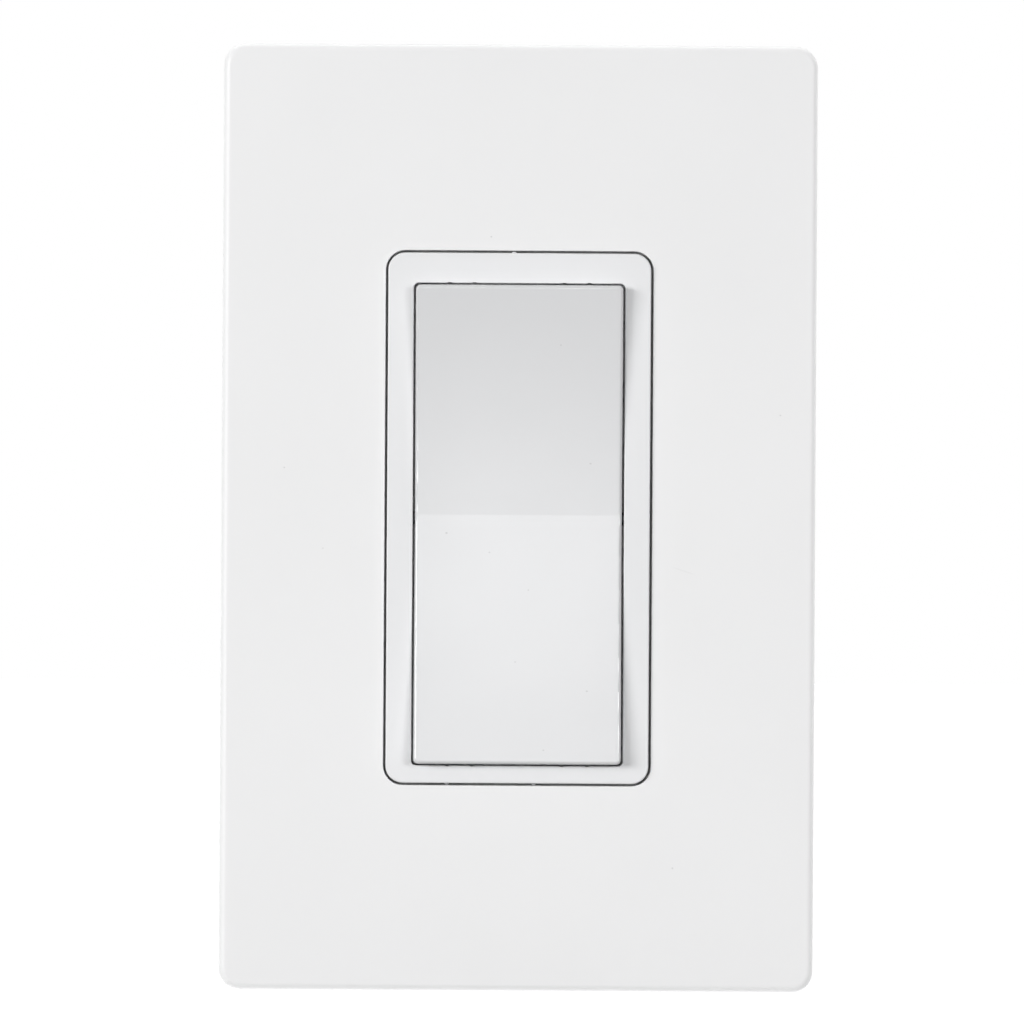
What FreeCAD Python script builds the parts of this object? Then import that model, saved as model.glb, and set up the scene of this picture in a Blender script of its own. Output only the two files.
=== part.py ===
"""Wireless remote wall switch: a rocker in a screwless wall plate, with its battery module and wall bracket.

Millimetres. The origin is the middle of the face that lies on the wall, +Z is up and the front looks along
-Y, so a depth is the distance out from the wall and stands at y = -depth.
"""

import FreeCAD
import Part
import Sketcher
import math
import os
import re

SIZES = [
    # wall plate
    ("plate_width", 74.6, "outside of the plate, across"),
    ("plate_height", 118.9, "outside of the plate, up"),
    ("plate_face", 13.4, "front face, out from the wall"),
    ("plate_wall", 2.0, "thickness of the front wall"),
    ("plate_rim", 2.0, "thickness of the side walls"),
    ("plate_corner", 2.8, "round of the four outer corners"),
    ("plate_edge", 0.9, "round of the front outer edge"),
    ("plate_off_wall", 0.3, "gap between the rim and the wall"),
    ("hollow_corner", 0.8, "round of the corners inside the rim"),
    ("rib_in", 7.45, "stiffening ribs behind the front wall, in from the rim"),
    ("rib_thick", 1.2, "thickness of the ribs"),
    ("rib_depth", 2.4, "how far the ribs stand into the hollow"),
    ("pry_width", 8.0, "notch for a screwdriver in the lower rim"),
    ("pry_depth", 1.2, "that notch, out from the rim's back edge"),
    ("opening_width", 33.56, "opening around the frame, across"),
    ("opening_height", 67.1, "opening around the frame, up"),
    ("opening_corner", 2.45, "round of the opening's corners"),
    ("opening_edge", 0.15, "round of the opening's front edge"),
    # frame around the rocker, with its flange and tray
    ("frame_gap", 0.3, "gap between frame and plate, all round"),
    ("frame_proud", 0.6, "frame face in front of the plate"),
    ("frame_edge", 0.2, "round of the frame's outer front edge"),
    ("flange_lap", 5.22, "flange behind the plate, at each side of the opening"),
    ("flange_lap_up", 1.95, "flange behind the plate, above and below the opening"),
    ("flange_corner", 3.0, "round of the module's corners"),
    ("flange_gap", 0.2, "gap between the flange and the plate's inside"),
    ("flange_thick", 2.0, "thickness of the flange"),
    ("tray_thick", 1.0, "floor of the well"),
    ("frame_side", 3.23, "frame at each side of the well"),
    ("frame_top", 3.79, "frame above the well"),
    ("frame_bottom", 2.2, "frame below the well"),
    ("well_corner", 0.6, "round of the well's corners"),
    ("well_edge", 0.15, "round of the well's front edge"),
    ("notch_width", 0.45, "slits beside the tabs"),
    ("notch_depth", 0.12, "slits, into the end walls of the well"),
    ("tab_width", 2.7, "tab between two slits"),
    ("tab_offset", 7.2, "middle of each tab, from the centre line"),
    # rocker
    ("rocker_gap", 0.275, "gap around the rocker"),
    ("half_tilt", 4.5, "slope of each half from end to end, in degrees"),
    ("half_sag", 0.28, "how far each half is hollow in its middle"),
    ("crease_width", 0.8, "flat of the crease between the halves"),
    ("rocker_wall", 1.5, "wall of the rocker"),
    ("rocker_edge", 0.4, "round of the front edge"),
    ("rocker_corner", 0.6, "round of the corners"),
    ("rocker_travel", 2.0, "turn each way, in degrees"),
    ("stop_gap", 0.3, "left under the skirt at the end of travel"),
    ("pivot_setback", 1.7, "pivot behind the frame's face"),
    ("pivot_web", 0.9, "wall around the pivot bore"),
    ("pivot_rib", 4.4, "rib that holds the pivot bore, up"),
    # pivot rod
    ("rod_diameter", 1.6, "pivot rod"),
    ("rod_bevel", 0.2, "bevel of the rod's ends"),
    ("rod_inset", 0.25, "rod ends inside the frame's sides"),
    ("rod_running_fit", 0.05, "between rod and rocker, on the radius"),
    ("rod_seat_fit", 0.02, "between rod and frame, on the radius"),
    # return springs
    ("spring_up", 11.0, "springs, from the middle"),
    ("spring_diameter", 3.6, "mean diameter of the coil"),
    ("spring_wire", 0.4, "spring wire"),
    ("spring_turns", 3.5, "turns"),
    ("spring_slack", 0.06, "between the coil and each seat"),
    ("seat_thick", 0.5, "seat under the rocker's wall"),
    ("seat_margin", 0.5, "seat beyond the coil, on the radius"),
    ("spigot_fit", 0.3, "between coil and spigot, on the radius"),
    ("spigot_height", 0.8, "spigots inside the coil"),
    # switches under the rocker
    ("stem_up", 21.0, "switches, from the middle"),
    ("switch_size", 6.0, "switch housing, both ways"),
    ("switch_height", 2.2, "switch housing, out from the board"),
    ("switch_cover", 0.8, "front wall of the housing"),
    ("switch_floor", 0.5, "back wall of the housing"),
    ("stem_diameter", 3.4, "stem"),
    ("stem_proud", 0.6, "stem in front of the housing"),
    ("stem_foot", 4.4, "foot of the stem, inside the housing"),
    ("stem_foot_thick", 0.5, "thickness of the foot"),
    ("stem_travel", 0.25, "travel of a stem"),
    ("stem_fit", 0.05, "between stem and housing, on the radius"),
    ("stem_clearance", 0.1, "between a fully pressed rocker and the stem"),
    ("tail_size", 3.0, "rocker's finger over each stem"),
    ("window_gap", 0.3, "tray around a switch"),
    ("switch_corner", 0.4, "round of a switch housing's corners"),
    ("stem_round", 0.27, "round of a stem's front edge"),
    ("leg_width", 0.7, "solder leg"),
    ("leg_reach", 1.0, "solder leg, out from the housing"),
    ("leg_thick", 0.2, "solder leg"),
    ("leg_spread", 4.5, "between the two legs of one side"),
    # rear case
    ("case_wall", 1.5, "side walls"),
    ("case_floor", 1.2, "back wall"),
    ("post_in", 2.7, "screw posts, in from the module's sides"),
    ("post_in_up", 5.5, "screw posts, in from the module's ends"),
    ("post_diameter", 4.4, "screw posts"),
    ("case_screw", 1.8, "shank of a case screw"),
    ("case_screw_length", 6.0, "case screw, under its head"),
    ("case_head", 3.5, "head of a case screw"),
    ("case_head_height", 1.1, "head of a case screw"),
    ("case_head_round", 0.35, "round of that head"),
    ("case_cross", 0.5, "arms of that head's cross recess"),
    ("screw_fit", 0.03, "between a screw and its thread's hole, on the radius"),
    ("screw_pass", 0.15, "between a screw and a plain hole, on the radius"),
    ("rest_in", 2.5, "board rests, in from the board's sides"),
    ("rest_in_up", 3.0, "board rests, in from the board's ends"),
    ("rest_diameter", 3.0, "board rests in the case"),
    ("stub_diameter", 2.4, "stubs behind the frame that hold the board down"),
    ("stub_height", 0.6, "their height"),
    ("ear_out", 3.6, "module screws, out from the module's sides"),
    ("ear_width", 8.0, "ear for a module screw, up"),
    ("ear_reach", 3.5, "ear beyond its screw"),
    ("ear_round", 3.5, "round of an ear's corners"),
    ("ear_thick", 1.6, "ear"),
    ("battery_window", 24.0, "round window behind the coin cell"),
    # wall bracket
    ("bracket_thick", 1.8, "bracket plate"),
    ("bracket_gap", 0.5, "between the bracket and the plate's rim"),
    ("bracket_corner", 1.6, "round of the bracket's corners"),
    ("slot_spacing", 83.3, "wall screws, centre to centre"),
    ("slot_width", 4.6, "wall screw slot"),
    ("slot_length", 8.0, "wall screw slot, end to end"),
    ("level_notch", 1.5, "notches in the middle of each edge, for a level line"),
    ("arrow_in", 3.2, "tip of the arrow on the back, in from the upper edge"),
    ("arrow_width", 6.0, "head of the arrow"),
    ("arrow_shaft", 2.0, "tail of the arrow, across"),
    ("arrow_height", 5.0, "arrow, tail to tip"),
    ("arrow_depth", 0.4, "arrow, cut into the back"),
    ("ejector_mark", 4.0, "round marks of the ejector pins on the back"),
    ("ejector_depth", 0.15, "those marks, cut into the back"),
    ("ejector_in", 5.5, "those marks, in from the bracket's edges"),
    ("pad_width", 50.0, "adhesive pad, across"),
    ("pad_height", 22.0, "adhesive pad, up"),
    ("pad_thick", 1.0, "adhesive pad, and the depth of its recess"),
    ("pad_up", 21.0, "adhesive pads, from the middle"),
    ("pad_gap", 0.25, "recess around a pad"),
    ("boss_diameter", 5.2, "boss under a module screw"),
    ("boss_height", 3.0, "boss, in front of the bracket plate"),
    ("boss_floor", 0.8, "left behind the screw's hole"),
    ("module_screw", 2.4, "shank of a module screw"),
    ("module_screw_length", 5.0, "module screw, under its head"),
    ("module_head", 4.6, "head of a module screw"),
    ("module_head_height", 1.6, "head of a module screw"),
    ("module_head_round", 0.55, "round of that head"),
    ("module_cross", 0.65, "arms of that head's cross recess"),
    ("lug_across", 20.0, "catches, from the centre line"),
    ("lug_width", 8.0, "catch"),
    ("lug_thick", 1.4, "catch"),
    ("lug_gap", 1.05, "between a catch's outer side and the plate's rim"),
    ("lug_height", 4.2, "catch, in front of the bracket plate"),
    ("barb_reach", 0.8, "barb on a catch"),
    ("barb_height", 1.0, "barb on a catch"),
    ("hook_reach", 0.85, "hook inside the plate's rim"),
    ("hook_height", 1.0, "hook inside the plate's rim"),
    ("hook_slack", 0.4, "between a hook and a barb"),
    ("hook_margin", 2.0, "hook beyond the catch, each side"),
    # board and what is on its back
    ("board_side", 4.0, "between the board and the case's side walls"),
    ("board_end", 2.0, "between the board and the case's end walls"),
    ("board_thick", 1.0, "circuit board"),
    ("board_corner", 1.5, "circuit board"),
    ("cell_up", -14.0, "coin cell, from the middle"),
    ("cell_diameter", 20.0, "coin cell"),
    ("cell_thick", 3.2, "coin cell"),
    ("cell_edge", 0.4, "round of the cell's edges"),
    ("cell_cap", 17.2, "smaller face of the cell"),
    ("cell_cap_height", 0.5, "step of the smaller face"),
    ("holder_size", 24.6, "battery holder, both ways"),
    ("holder_floor", 0.8, "battery holder, under the cell"),
    ("holder_corner", 1.5, "round of the holder's corners"),
    ("holder_fit", 0.3, "around the cell, on the radius"),
    ("holder_bore", 14.0, "opening in the holder's floor"),
    ("holder_short", 0.5, "cell beyond the holder"),
    ("strip_thick", 0.3, "battery contacts"),
    ("strip_width", 6.0, "battery contacts"),
    ("strip_gap", 0.4, "between a contact and the holder's side"),
    ("strip_foot", 2.6, "soldered foot of a contact"),
    ("strip_reach", 2.0, "contact, past the middle of the cell"),
    ("arch_width", 6.0, "arch of the inner contact, at its feet"),
    ("arch_crown", 3.0, "arch of the inner contact, at its crown"),
    ("can_below", 11.0, "shield can, below the antenna"),
    ("can_size", 14.0, "shield can, both ways"),
    ("can_height", 2.2, "shield can"),
    ("can_wall", 0.25, "shield can"),
    ("can_corner", 0.8, "shield can"),
    ("chip_size", 6.0, "microcontroller, both ways"),
    ("chip_height", 0.9, "microcontroller"),
    ("chip_mark", 0.6, "dimple beside its first leg"),
    ("chip_mark_depth", 0.05, "that dimple"),
    ("chip_mark_inset", 0.9, "that dimple, in from both sides"),
    ("crystal_across", 11.0, "crystal, from the centre line"),
    ("crystal_width", 2.5, "crystal, across"),
    ("crystal_height", 3.2, "crystal, up"),
    ("crystal_thick", 0.8, "crystal"),
    ("crystal_corner", 0.4, "crystal"),
    ("antenna_in", 4.0, "antenna, in from the board's end"),
    ("antenna_length", 18.0, "antenna, across"),
    ("antenna_height", 3.0, "antenna, out from the board"),
    ("antenna_strip", 0.8, "width of its strip"),
    ("antenna_thick", 0.3, "antenna sheet"),
    ("part_length", 1.6, "small chip parts"),
    ("part_width", 0.8, "small chip parts"),
    ("part_height", 0.6, "small chip parts"),
    ("part_pitch", 3.2, "between small chip parts"),
    ("part_up", 3.0, "first row of them, from the middle"),
    ("part_rows", 3.0, "between the rows"),
    # pairing control
    ("pair_across", -12.0, "pairing button, from the centre line"),
    ("pair_up", 17.0, "pairing button, from the middle"),
    ("pair_size", 4.5, "pairing switch, both ways"),
    ("pair_height", 1.7, "pairing switch, out from the board"),
    ("pair_stem", 2.2, "its stem"),
    ("pair_stem_proud", 0.5, "its stem, in front of the housing"),
    ("pair_stem_depth", 1.2, "its stem, inside the housing"),
    ("pair_button", 5.0, "pairing button"),
    ("pair_flange", 6.4, "flange that keeps the button in"),
    ("pair_flange_thick", 0.6, "that flange"),
    ("pair_fit", 0.1, "between button and case, on the radius"),
    ("pair_recess", 0.2, "button behind the case's back"),
    ("pair_touch", 0.05, "between button and stem"),
]
NAMES = {name for name, _, _ in SIZES}

# depths and reaches that follow from the sizes
CASE_FLOOR = "(bracket_thick + case_floor)"
PLATE_INSIDE = "(plate_face - plate_wall)"
FLANGE_FRONT = "(plate_face - plate_wall - flange_gap)"
PARTING = f"({FLANGE_FRONT} - flange_thick)"
FRAME_FACE = "(plate_face + frame_proud)"
FRAME_WIDTH = "(opening_width - 2 * frame_gap)"
FRAME_HEIGHT = "(opening_height - 2 * frame_gap)"
WELL_WIDTH = f"({FRAME_WIDTH} - 2 * frame_side)"
WELL_TOP = f"({FRAME_HEIGHT} / 2 - frame_top)"
WELL_BOTTOM = f"({FRAME_HEIGHT} / 2 - frame_bottom)"
MODULE_WIDTH = "(opening_width + 2 * flange_lap)"
MODULE_HEIGHT = "(opening_height + 2 * flange_lap_up)"
POST_ACROSS = f"({MODULE_WIDTH} / 2 - post_in)"
POST_UP = f"({MODULE_HEIGHT} / 2 - post_in_up)"
EAR_ACROSS = f"({MODULE_WIDTH} / 2 + ear_out)"
BOARD_WIDTH = f"({MODULE_WIDTH} - 2 * case_wall - 2 * board_side)"
BOARD_HEIGHT = f"({MODULE_HEIGHT} - 2 * case_wall - 2 * board_end)"
REST_ACROSS = f"({BOARD_WIDTH} / 2 - rest_in)"
REST_UP = f"({BOARD_HEIGHT} / 2 - rest_in_up)"
ANTENNA_UP = f"({BOARD_HEIGHT} / 2 - antenna_in)"
CAN_UP = f"({ANTENNA_UP} - can_below)"
TRAY_FRONT = f"({PARTING} + tray_thick)"
BOARD_FRONT = f"({PARTING} - stub_height)"
BOARD_BACK = f"({BOARD_FRONT} - board_thick)"
SWITCH_FRONT = f"({BOARD_FRONT} + switch_height)"
STEM_TOP = f"({SWITCH_FRONT} + stem_proud)"
PIVOT = f"({FRAME_FACE} - pivot_setback)"
SLOPE = "tan(half_tilt * 1deg)"
TURN = "sin(rocker_travel * 1deg)"
ROCKER_WIDTH = f"({WELL_WIDTH} - 2 * rocker_gap)"
ROCKER_TOP = f"({WELL_TOP} - rocker_gap)"
ROCKER_BOTTOM = f"({WELL_BOTTOM} - rocker_gap)"
SKIRT = f"({TRAY_FRONT} + stop_gap + {ROCKER_BOTTOM} * {TURN})"
TAIL_END = f"({STEM_TOP} + stem_clearance + (stem_up + tail_size / 2) * {TURN})"
SPRING_SEAT = f"({FRAME_FACE} + spring_up * {SLOPE} - rocker_wall - seat_thick)"
SPIGOT = "(spring_diameter - spring_wire - 2 * spigot_fit)"
CELL_FRONT = f"({BOARD_BACK} - holder_floor)"
CELL_BACK = f"({CELL_FRONT} - cell_thick)"
RIM_INSIDE_UP = "(plate_height / 2 - plate_rim)"
RIM_INSIDE_ACROSS = "(plate_width / 2 - plate_rim)"
BARB_BACK = "(bracket_thick + lug_height - barb_height)"
EAR_BACK = "(bracket_thick + boss_height)"
RIB_UP = f"({RIM_INSIDE_UP} - rib_in)"
PAIR_FRONT = f"({BOARD_BACK} - pair_height)"
PAIR_STEM_END = f"({PAIR_FRONT} - pair_stem_proud)"
PAIR_FLANGE_BACK = f"({CASE_FLOOR} + pair_fit)"
OVERSHOOT = 0.8  # how far a cut runs past what it cuts
TOUCH = 0.01  # how near two places are when they count as one
ROUND_SPARE = 0.06  # how far a rounded outline's edges may fall short of its corners

doc = FreeCAD.newDocument("WallRemote")
sizes = doc.addObject("Spreadsheet::Sheet", "Sizes")
for row, (alias, value, meaning) in enumerate(SIZES, 1):
    sizes.set(f"A{row}", meaning)
    sizes.set(f"B{row}", str(value))
    sizes.setAlias(f"B{row}", alias)
doc.recompute()


def formula(text):
    """The expression with each size's name led by the sheet's."""
    return re.sub(r"[a-z_]+", lambda word: f"Sizes.{word[0]}" if word[0] in NAMES else word[0], str(text))


def bind(thing, settings):
    """Ties each named property of an object to an expression in the sizes."""
    for name, text in settings.items():
        thing.setExpression(name, formula(text))


def worth(text):
    """The present value of an expression in the sizes."""
    return float(sizes.evalExpression(formula(text)))


def new_body(label):
    body = doc.addObject("PartDesign::Body", label)
    body.Label = label
    return body


def new_sketch(body, name, depth, plane="XZ_Plane"):
    """A sketch on one of the body's own planes, moved out along its normal, for XZ_Plane from the wall."""
    sketch = body.newObject("Sketcher::SketchObject", f"{body.Label}_{name}")
    origin_plane = next(f for f in body.Origin.OriginFeatures if f.Role == plane)
    sketch.AttachmentSupport = [(origin_plane, "")]
    sketch.MapMode = "FlatFace"
    bind(sketch, {"AttachmentOffset.Base.z": depth})
    return sketch


def hold(sketch, kind, where, text):
    """One sketch size, tied to its expression."""
    index = sketch.addConstraint(Sketcher.Constraint(kind, *where, worth(text)))
    name = f"size{index}"
    sketch.renameConstraint(index, name)
    bind(sketch, {f"Constraints.{name}": text})


def add_outline(sketch, points, arcs=None):
    """A closed outline; each corner is held from the sketch's origin.

    Its runs are straight, apart from those in arcs: {number of the run: how far it sags to its right}.
    """
    places = [FreeCAD.Vector(worth(across), worth(up), 0) for across, up in points]
    count = len(points)
    arcs = arcs or {}
    runs = []
    for number in range(count):
        start, end = places[number], places[(number + 1) % count]
        if number in arcs:
            along = end - start
            rightward = FreeCAD.Vector(along.y, -along.x, 0).normalize()
            middle = (start + end) / 2 + rightward * worth(arcs[number])
            run = sketch.addGeometry(Part.Arc(start, middle, end), False)
            turned = sketch.Geometry[run].StartPoint.distanceToPoint(start) > TOUCH
            runs.append((run, 2, 1) if turned else (run, 1, 2))
        else:
            runs.append((sketch.addGeometry(Part.LineSegment(start, end), False), 1, 2))
    for number, (run, _, end) in enumerate(runs):
        following, begin, _ = runs[(number + 1) % count]
        sketch.addConstraint(Sketcher.Constraint("Coincident", run, end, following, begin))
    for (run, begin, _), (across, up) in zip(runs, points):
        hold(sketch, "DistanceX", (-1, 1, run, begin), across)
        hold(sketch, "DistanceY", (-1, 1, run, begin), up)
    for number, sag in arcs.items():
        (x0, y0), (x1, y1) = points[number], points[(number + 1) % count]
        chord = f"((({x1}) - ({x0}))^2 + (({y1}) - ({y0}))^2)"
        hold(sketch, "Radius", (runs[number][0],), f"{chord} / (8 * {sag}) + {sag} / 2")


def add_rectangle(sketch, width, height, across="0", up="0"):
    left, right = f"{across} - ({width}) / 2", f"{across} + ({width}) / 2"
    low, high = f"{up} - ({height}) / 2", f"{up} + ({height}) / 2"
    add_outline(sketch, [(left, low), (right, low), (right, high), (left, high)])


def add_circle(sketch, diameter, across="0", up="0"):
    centre = FreeCAD.Vector(worth(across), worth(up), 0)
    circle = Part.Circle(centre, FreeCAD.Vector(0, 0, 1), worth(diameter) / 2)
    index = sketch.addGeometry(circle, False)
    hold(sketch, "DistanceX", (-1, 1, index, 3), across)
    hold(sketch, "DistanceY", (-1, 1, index, 3), up)
    hold(sketch, "Diameter", (index,), diameter)


def add_slot(sketch, width, length, up):
    """An upright slot with round ends, on the centre line."""
    radius, reach, middle = worth(width) / 2, worth(f"({length} - {width}) / 2"), worth(up)
    high = Part.Circle(FreeCAD.Vector(0, middle + reach, 0), FreeCAD.Vector(0, 0, 1), radius)
    low = Part.Circle(FreeCAD.Vector(0, middle - reach, 0), FreeCAD.Vector(0, 0, 1), radius)
    corners = [FreeCAD.Vector(x, middle + y, 0) for x, y in (
        (-radius, reach), (-radius, -reach), (radius, -reach), (radius, reach))]
    top = sketch.addGeometry(Part.ArcOfCircle(high, 0, math.pi), False)
    left = sketch.addGeometry(Part.LineSegment(corners[0], corners[1]), False)
    bottom = sketch.addGeometry(Part.ArcOfCircle(low, math.pi, 2 * math.pi), False)
    right = sketch.addGeometry(Part.LineSegment(corners[2], corners[3]), False)
    for one, other in ((top, left), (left, bottom), (bottom, right), (right, top)):
        sketch.addConstraint(Sketcher.Constraint("Tangent", one, 2, other, 1))
    sketch.addConstraint(Sketcher.Constraint("Equal", top, bottom))
    for arc, side in ((top, "+"), (bottom, "-")):
        hold(sketch, "DistanceX", (-1, 1, arc, 3), "0")
        hold(sketch, "DistanceY", (-1, 1, arc, 3), f"{up} {side} ({length} - {width}) / 2")
    hold(sketch, "Radius", (top,), f"{width} / 2")


def pad(body, sketch, length, both_sides=False):
    """Adds material along the sketch's normal: for XZ_Plane that is away from the wall."""
    feature = body.newObject("PartDesign::Pad", f"{sketch.Name}_pad")
    feature.Profile = sketch
    feature.SideType = "Symmetric" if both_sides else "One side"
    bind(feature, {"Length": length})
    return feature


def pocket(body, sketch, length, both_sides=False):
    """Cuts against the sketch's normal: for XZ_Plane that is towards the wall."""
    feature = body.newObject("PartDesign::Pocket", f"{sketch.Name}_cut")
    feature.Profile = sketch
    feature.SideType = "Symmetric" if both_sides else "One side"
    bind(feature, {"Length": length})
    return feature


def round_edges(body, name, radius, wanted):
    """Rounds the edges of the body so far that pass the test."""
    doc.recompute()
    base = body.Tip
    edges = [f"Edge{number}" for number, edge in enumerate(base.Shape.Edges, 1) if wanted(edge)]
    if not edges:
        raise ValueError(f"{body.Label}: no edge to round for {name}")
    feature = body.newObject("PartDesign::Fillet", f"{body.Label}_{name}")
    feature.Base = (base, edges)
    feature.UseAllEdges = False
    bind(feature, {"Radius": radius})
    return feature


def near(value, text):
    return abs(value - worth(text)) < TOUCH


def deep_edge(edge, half_width=None, half_height=None, from_depth=None, to_depth=None):
    """True for an edge that runs straight out from the wall, at this half width, half height and depths."""
    box = edge.BoundBox
    if box.XLength > TOUCH or box.ZLength > TOUCH or box.YLength < TOUCH:
        return False
    if half_width is not None and not near(abs(box.XMin), half_width):
        return False
    if half_height is not None and not near(abs(box.ZMin), half_height):
        return False
    if from_depth is not None and -box.YMax < worth(from_depth) - TOUCH:
        return False
    return to_depth is None or -box.YMin < worth(to_depth) + TOUCH


def rim_edge(edge, depth, half_width, half_height):
    """True for an edge of the rounded rectangle of this size that lies at one depth from the wall."""
    box = edge.BoundBox
    if box.YLength > TOUCH or not near(-box.YMin, depth):
        return False
    spare_x = worth(half_width) - max(abs(box.XMin), abs(box.XMax))
    spare_z = worth(half_height) - max(abs(box.ZMin), abs(box.ZMax))
    return abs(min(spare_x, spare_z)) < ROUND_SPARE


def both(value):
    """A size and its mirror image."""
    return (f"({value})", f"(-({value}))")


def make_wall_plate():
    body = new_body("wall_plate")
    outside = new_sketch(body, "outside", "plate_off_wall")
    add_rectangle(outside, "plate_width", "plate_height")
    pad(body, outside, "plate_face - plate_off_wall")
    round_edges(body, "corners", "plate_corner", lambda edge: deep_edge(edge, "plate_width / 2"))
    round_edges(body, "front_edge", "plate_edge",
                lambda edge: rim_edge(edge, "plate_face", "plate_width / 2", "plate_height / 2"))
    hollow = new_sketch(body, "hollow", PLATE_INSIDE)
    add_rectangle(hollow, f"2 * {RIM_INSIDE_ACROSS}", f"2 * {RIM_INSIDE_UP}")
    pocket(body, hollow, f"{PLATE_INSIDE} + {OVERSHOOT}")
    round_edges(body, "hollow_corners", "hollow_corner",
                lambda edge: deep_edge(edge, RIM_INSIDE_ACROSS, RIM_INSIDE_UP))
    ribs = new_sketch(body, "ribs", f"{PLATE_INSIDE} - rib_depth")
    for up in both(RIB_UP):
        add_rectangle(ribs, f"2 * {RIM_INSIDE_ACROSS} + plate_rim", "rib_thick", "0", up)
    pad(body, ribs, "rib_depth + plate_wall / 2")
    hooks = new_sketch(body, "hooks", f"{BARB_BACK} - hook_slack - hook_height")
    for across in both("lug_across"):
        for side, up in zip("-+", both(f"{RIM_INSIDE_UP} - hook_reach / 2 + plate_rim / 4")):
            add_rectangle(hooks, "lug_width + 2 * hook_margin", "hook_reach + plate_rim / 2", across, up)
    pad(body, hooks, "hook_height")
    pry = new_sketch(body, "pry_notch", "plate_off_wall + pry_depth")
    add_rectangle(pry, "pry_width", "2 * plate_rim", "0", "-plate_height / 2")
    pocket(body, pry, f"pry_depth + {OVERSHOOT}")
    opening = new_sketch(body, "opening", f"plate_face + {OVERSHOOT}")
    add_rectangle(opening, "opening_width", "opening_height")
    pocket(body, opening, f"plate_wall + 2 * {OVERSHOOT}")
    round_edges(body, "opening_corners", "opening_corner",
                lambda edge: deep_edge(edge, "opening_width / 2", "opening_height / 2"))
    round_edges(body, "opening_edge", "opening_edge",
                lambda edge: rim_edge(edge, "plate_face", "opening_width / 2", "opening_height / 2"))
    return body


def make_bezel_frame():
    body = new_body("bezel_frame")
    flange = new_sketch(body, "flange", PARTING)
    add_rectangle(flange, MODULE_WIDTH, MODULE_HEIGHT)
    pad(body, flange, "flange_thick")
    round_edges(body, "flange_corners", "flange_corner", lambda edge: deep_edge(edge, f"{MODULE_WIDTH} / 2"))
    raised = new_sketch(body, "raised", PARTING)
    add_rectangle(raised, FRAME_WIDTH, FRAME_HEIGHT)
    pad(body, raised, f"{FRAME_FACE} - {PARTING}")
    round_edges(body, "raised_corners", "opening_corner - frame_gap",
                lambda edge: deep_edge(edge, f"{FRAME_WIDTH} / 2", f"{FRAME_HEIGHT} / 2", FLANGE_FRONT))
    round_edges(body, "raised_edge", "frame_edge",
                lambda edge: rim_edge(edge, FRAME_FACE, f"{FRAME_WIDTH} / 2", f"{FRAME_HEIGHT} / 2"))
    well = new_sketch(body, "well", f"{FRAME_FACE} + {OVERSHOOT}")
    add_rectangle(well, WELL_WIDTH, f"{WELL_TOP} + {WELL_BOTTOM}", "0", f"({WELL_TOP} - {WELL_BOTTOM}) / 2")
    pocket(body, well, f"{FRAME_FACE} + {OVERSHOOT} - {TRAY_FRONT}")
    round_edges(body, "well_corners", "well_corner",
                lambda edge: deep_edge(edge, f"{WELL_WIDTH} / 2", None, TRAY_FRONT, FRAME_FACE))
    round_edges(body, "well_edge", "well_edge",
                lambda edge: rim_edge(edge, FRAME_FACE, f"{WELL_WIDTH} / 2", WELL_BOTTOM))
    windows = new_sketch(body, "windows", f"{TRAY_FRONT} + {OVERSHOOT}")
    window = "switch_size + 2 * window_gap"
    for up in both("stem_up"):
        add_rectangle(windows, f"{window} + 2 * leg_reach", window, "0", up)
    pocket(body, windows, f"tray_thick + 2 * {OVERSHOOT}")
    notches = new_sketch(body, "notches", f"{FRAME_FACE} + {OVERSHOOT}")
    for tab in both("tab_offset"):
        for side in both("(tab_width + notch_width) / 2"):
            for up in (f"-{WELL_BOTTOM}", WELL_TOP):
                add_rectangle(notches, "notch_width", "2 * notch_depth", f"{tab} + {side}", up)
    pocket(body, notches, f"{FRAME_FACE} + {OVERSHOOT} - {TRAY_FRONT}")
    spigots = new_sketch(body, "spigots", PARTING)
    for up in both("spring_up"):
        add_circle(spigots, SPIGOT, "0", up)
    pad(body, spigots, "tray_thick + spigot_height")
    stubs = new_sketch(body, "stubs", BOARD_FRONT)
    for across in both(REST_ACROSS):
        for up in both(REST_UP):
            add_circle(stubs, "stub_diameter", across, up)
    pad(body, stubs, "stub_height + tray_thick")
    for name, diameter, depth in (
            ("screw_holes", "case_screw + 2 * screw_pass", f"flange_thick + {OVERSHOOT}"),
            ("screw_heads", "case_head + 2 * screw_pass", "case_head_height")):
        holes = new_sketch(body, name, FLANGE_FRONT)
        for across in both(POST_ACROSS):
            for up in both(POST_UP):
                add_circle(holes, diameter, across, up)
        pocket(body, holes, depth)
    bores = new_sketch(body, "rod_bores", "0", "YZ_Plane")
    add_circle(bores, "rod_diameter + 2 * rod_seat_fit", f"-{PIVOT}", "0")
    pocket(body, bores, f"{FRAME_WIDTH} + {OVERSHOOT}", True)
    return body


def add_side_profile(sketch, points, arcs=None):
    """An outline seen from the side, in depths from the wall and heights."""
    add_outline(sketch, [(f"-({depth})", up) for depth, up in points], arcs)


def face_side(edge, half_width):
    """True for an upright edge along either side of the rocker's face."""
    box = edge.BoundBox
    on_side = near(abs(box.XMin), half_width) and near(abs(box.XMax), half_width)
    return on_side and box.ZLength > TOUCH and -box.YMax > worth(SKIRT) + TOUCH


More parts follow.
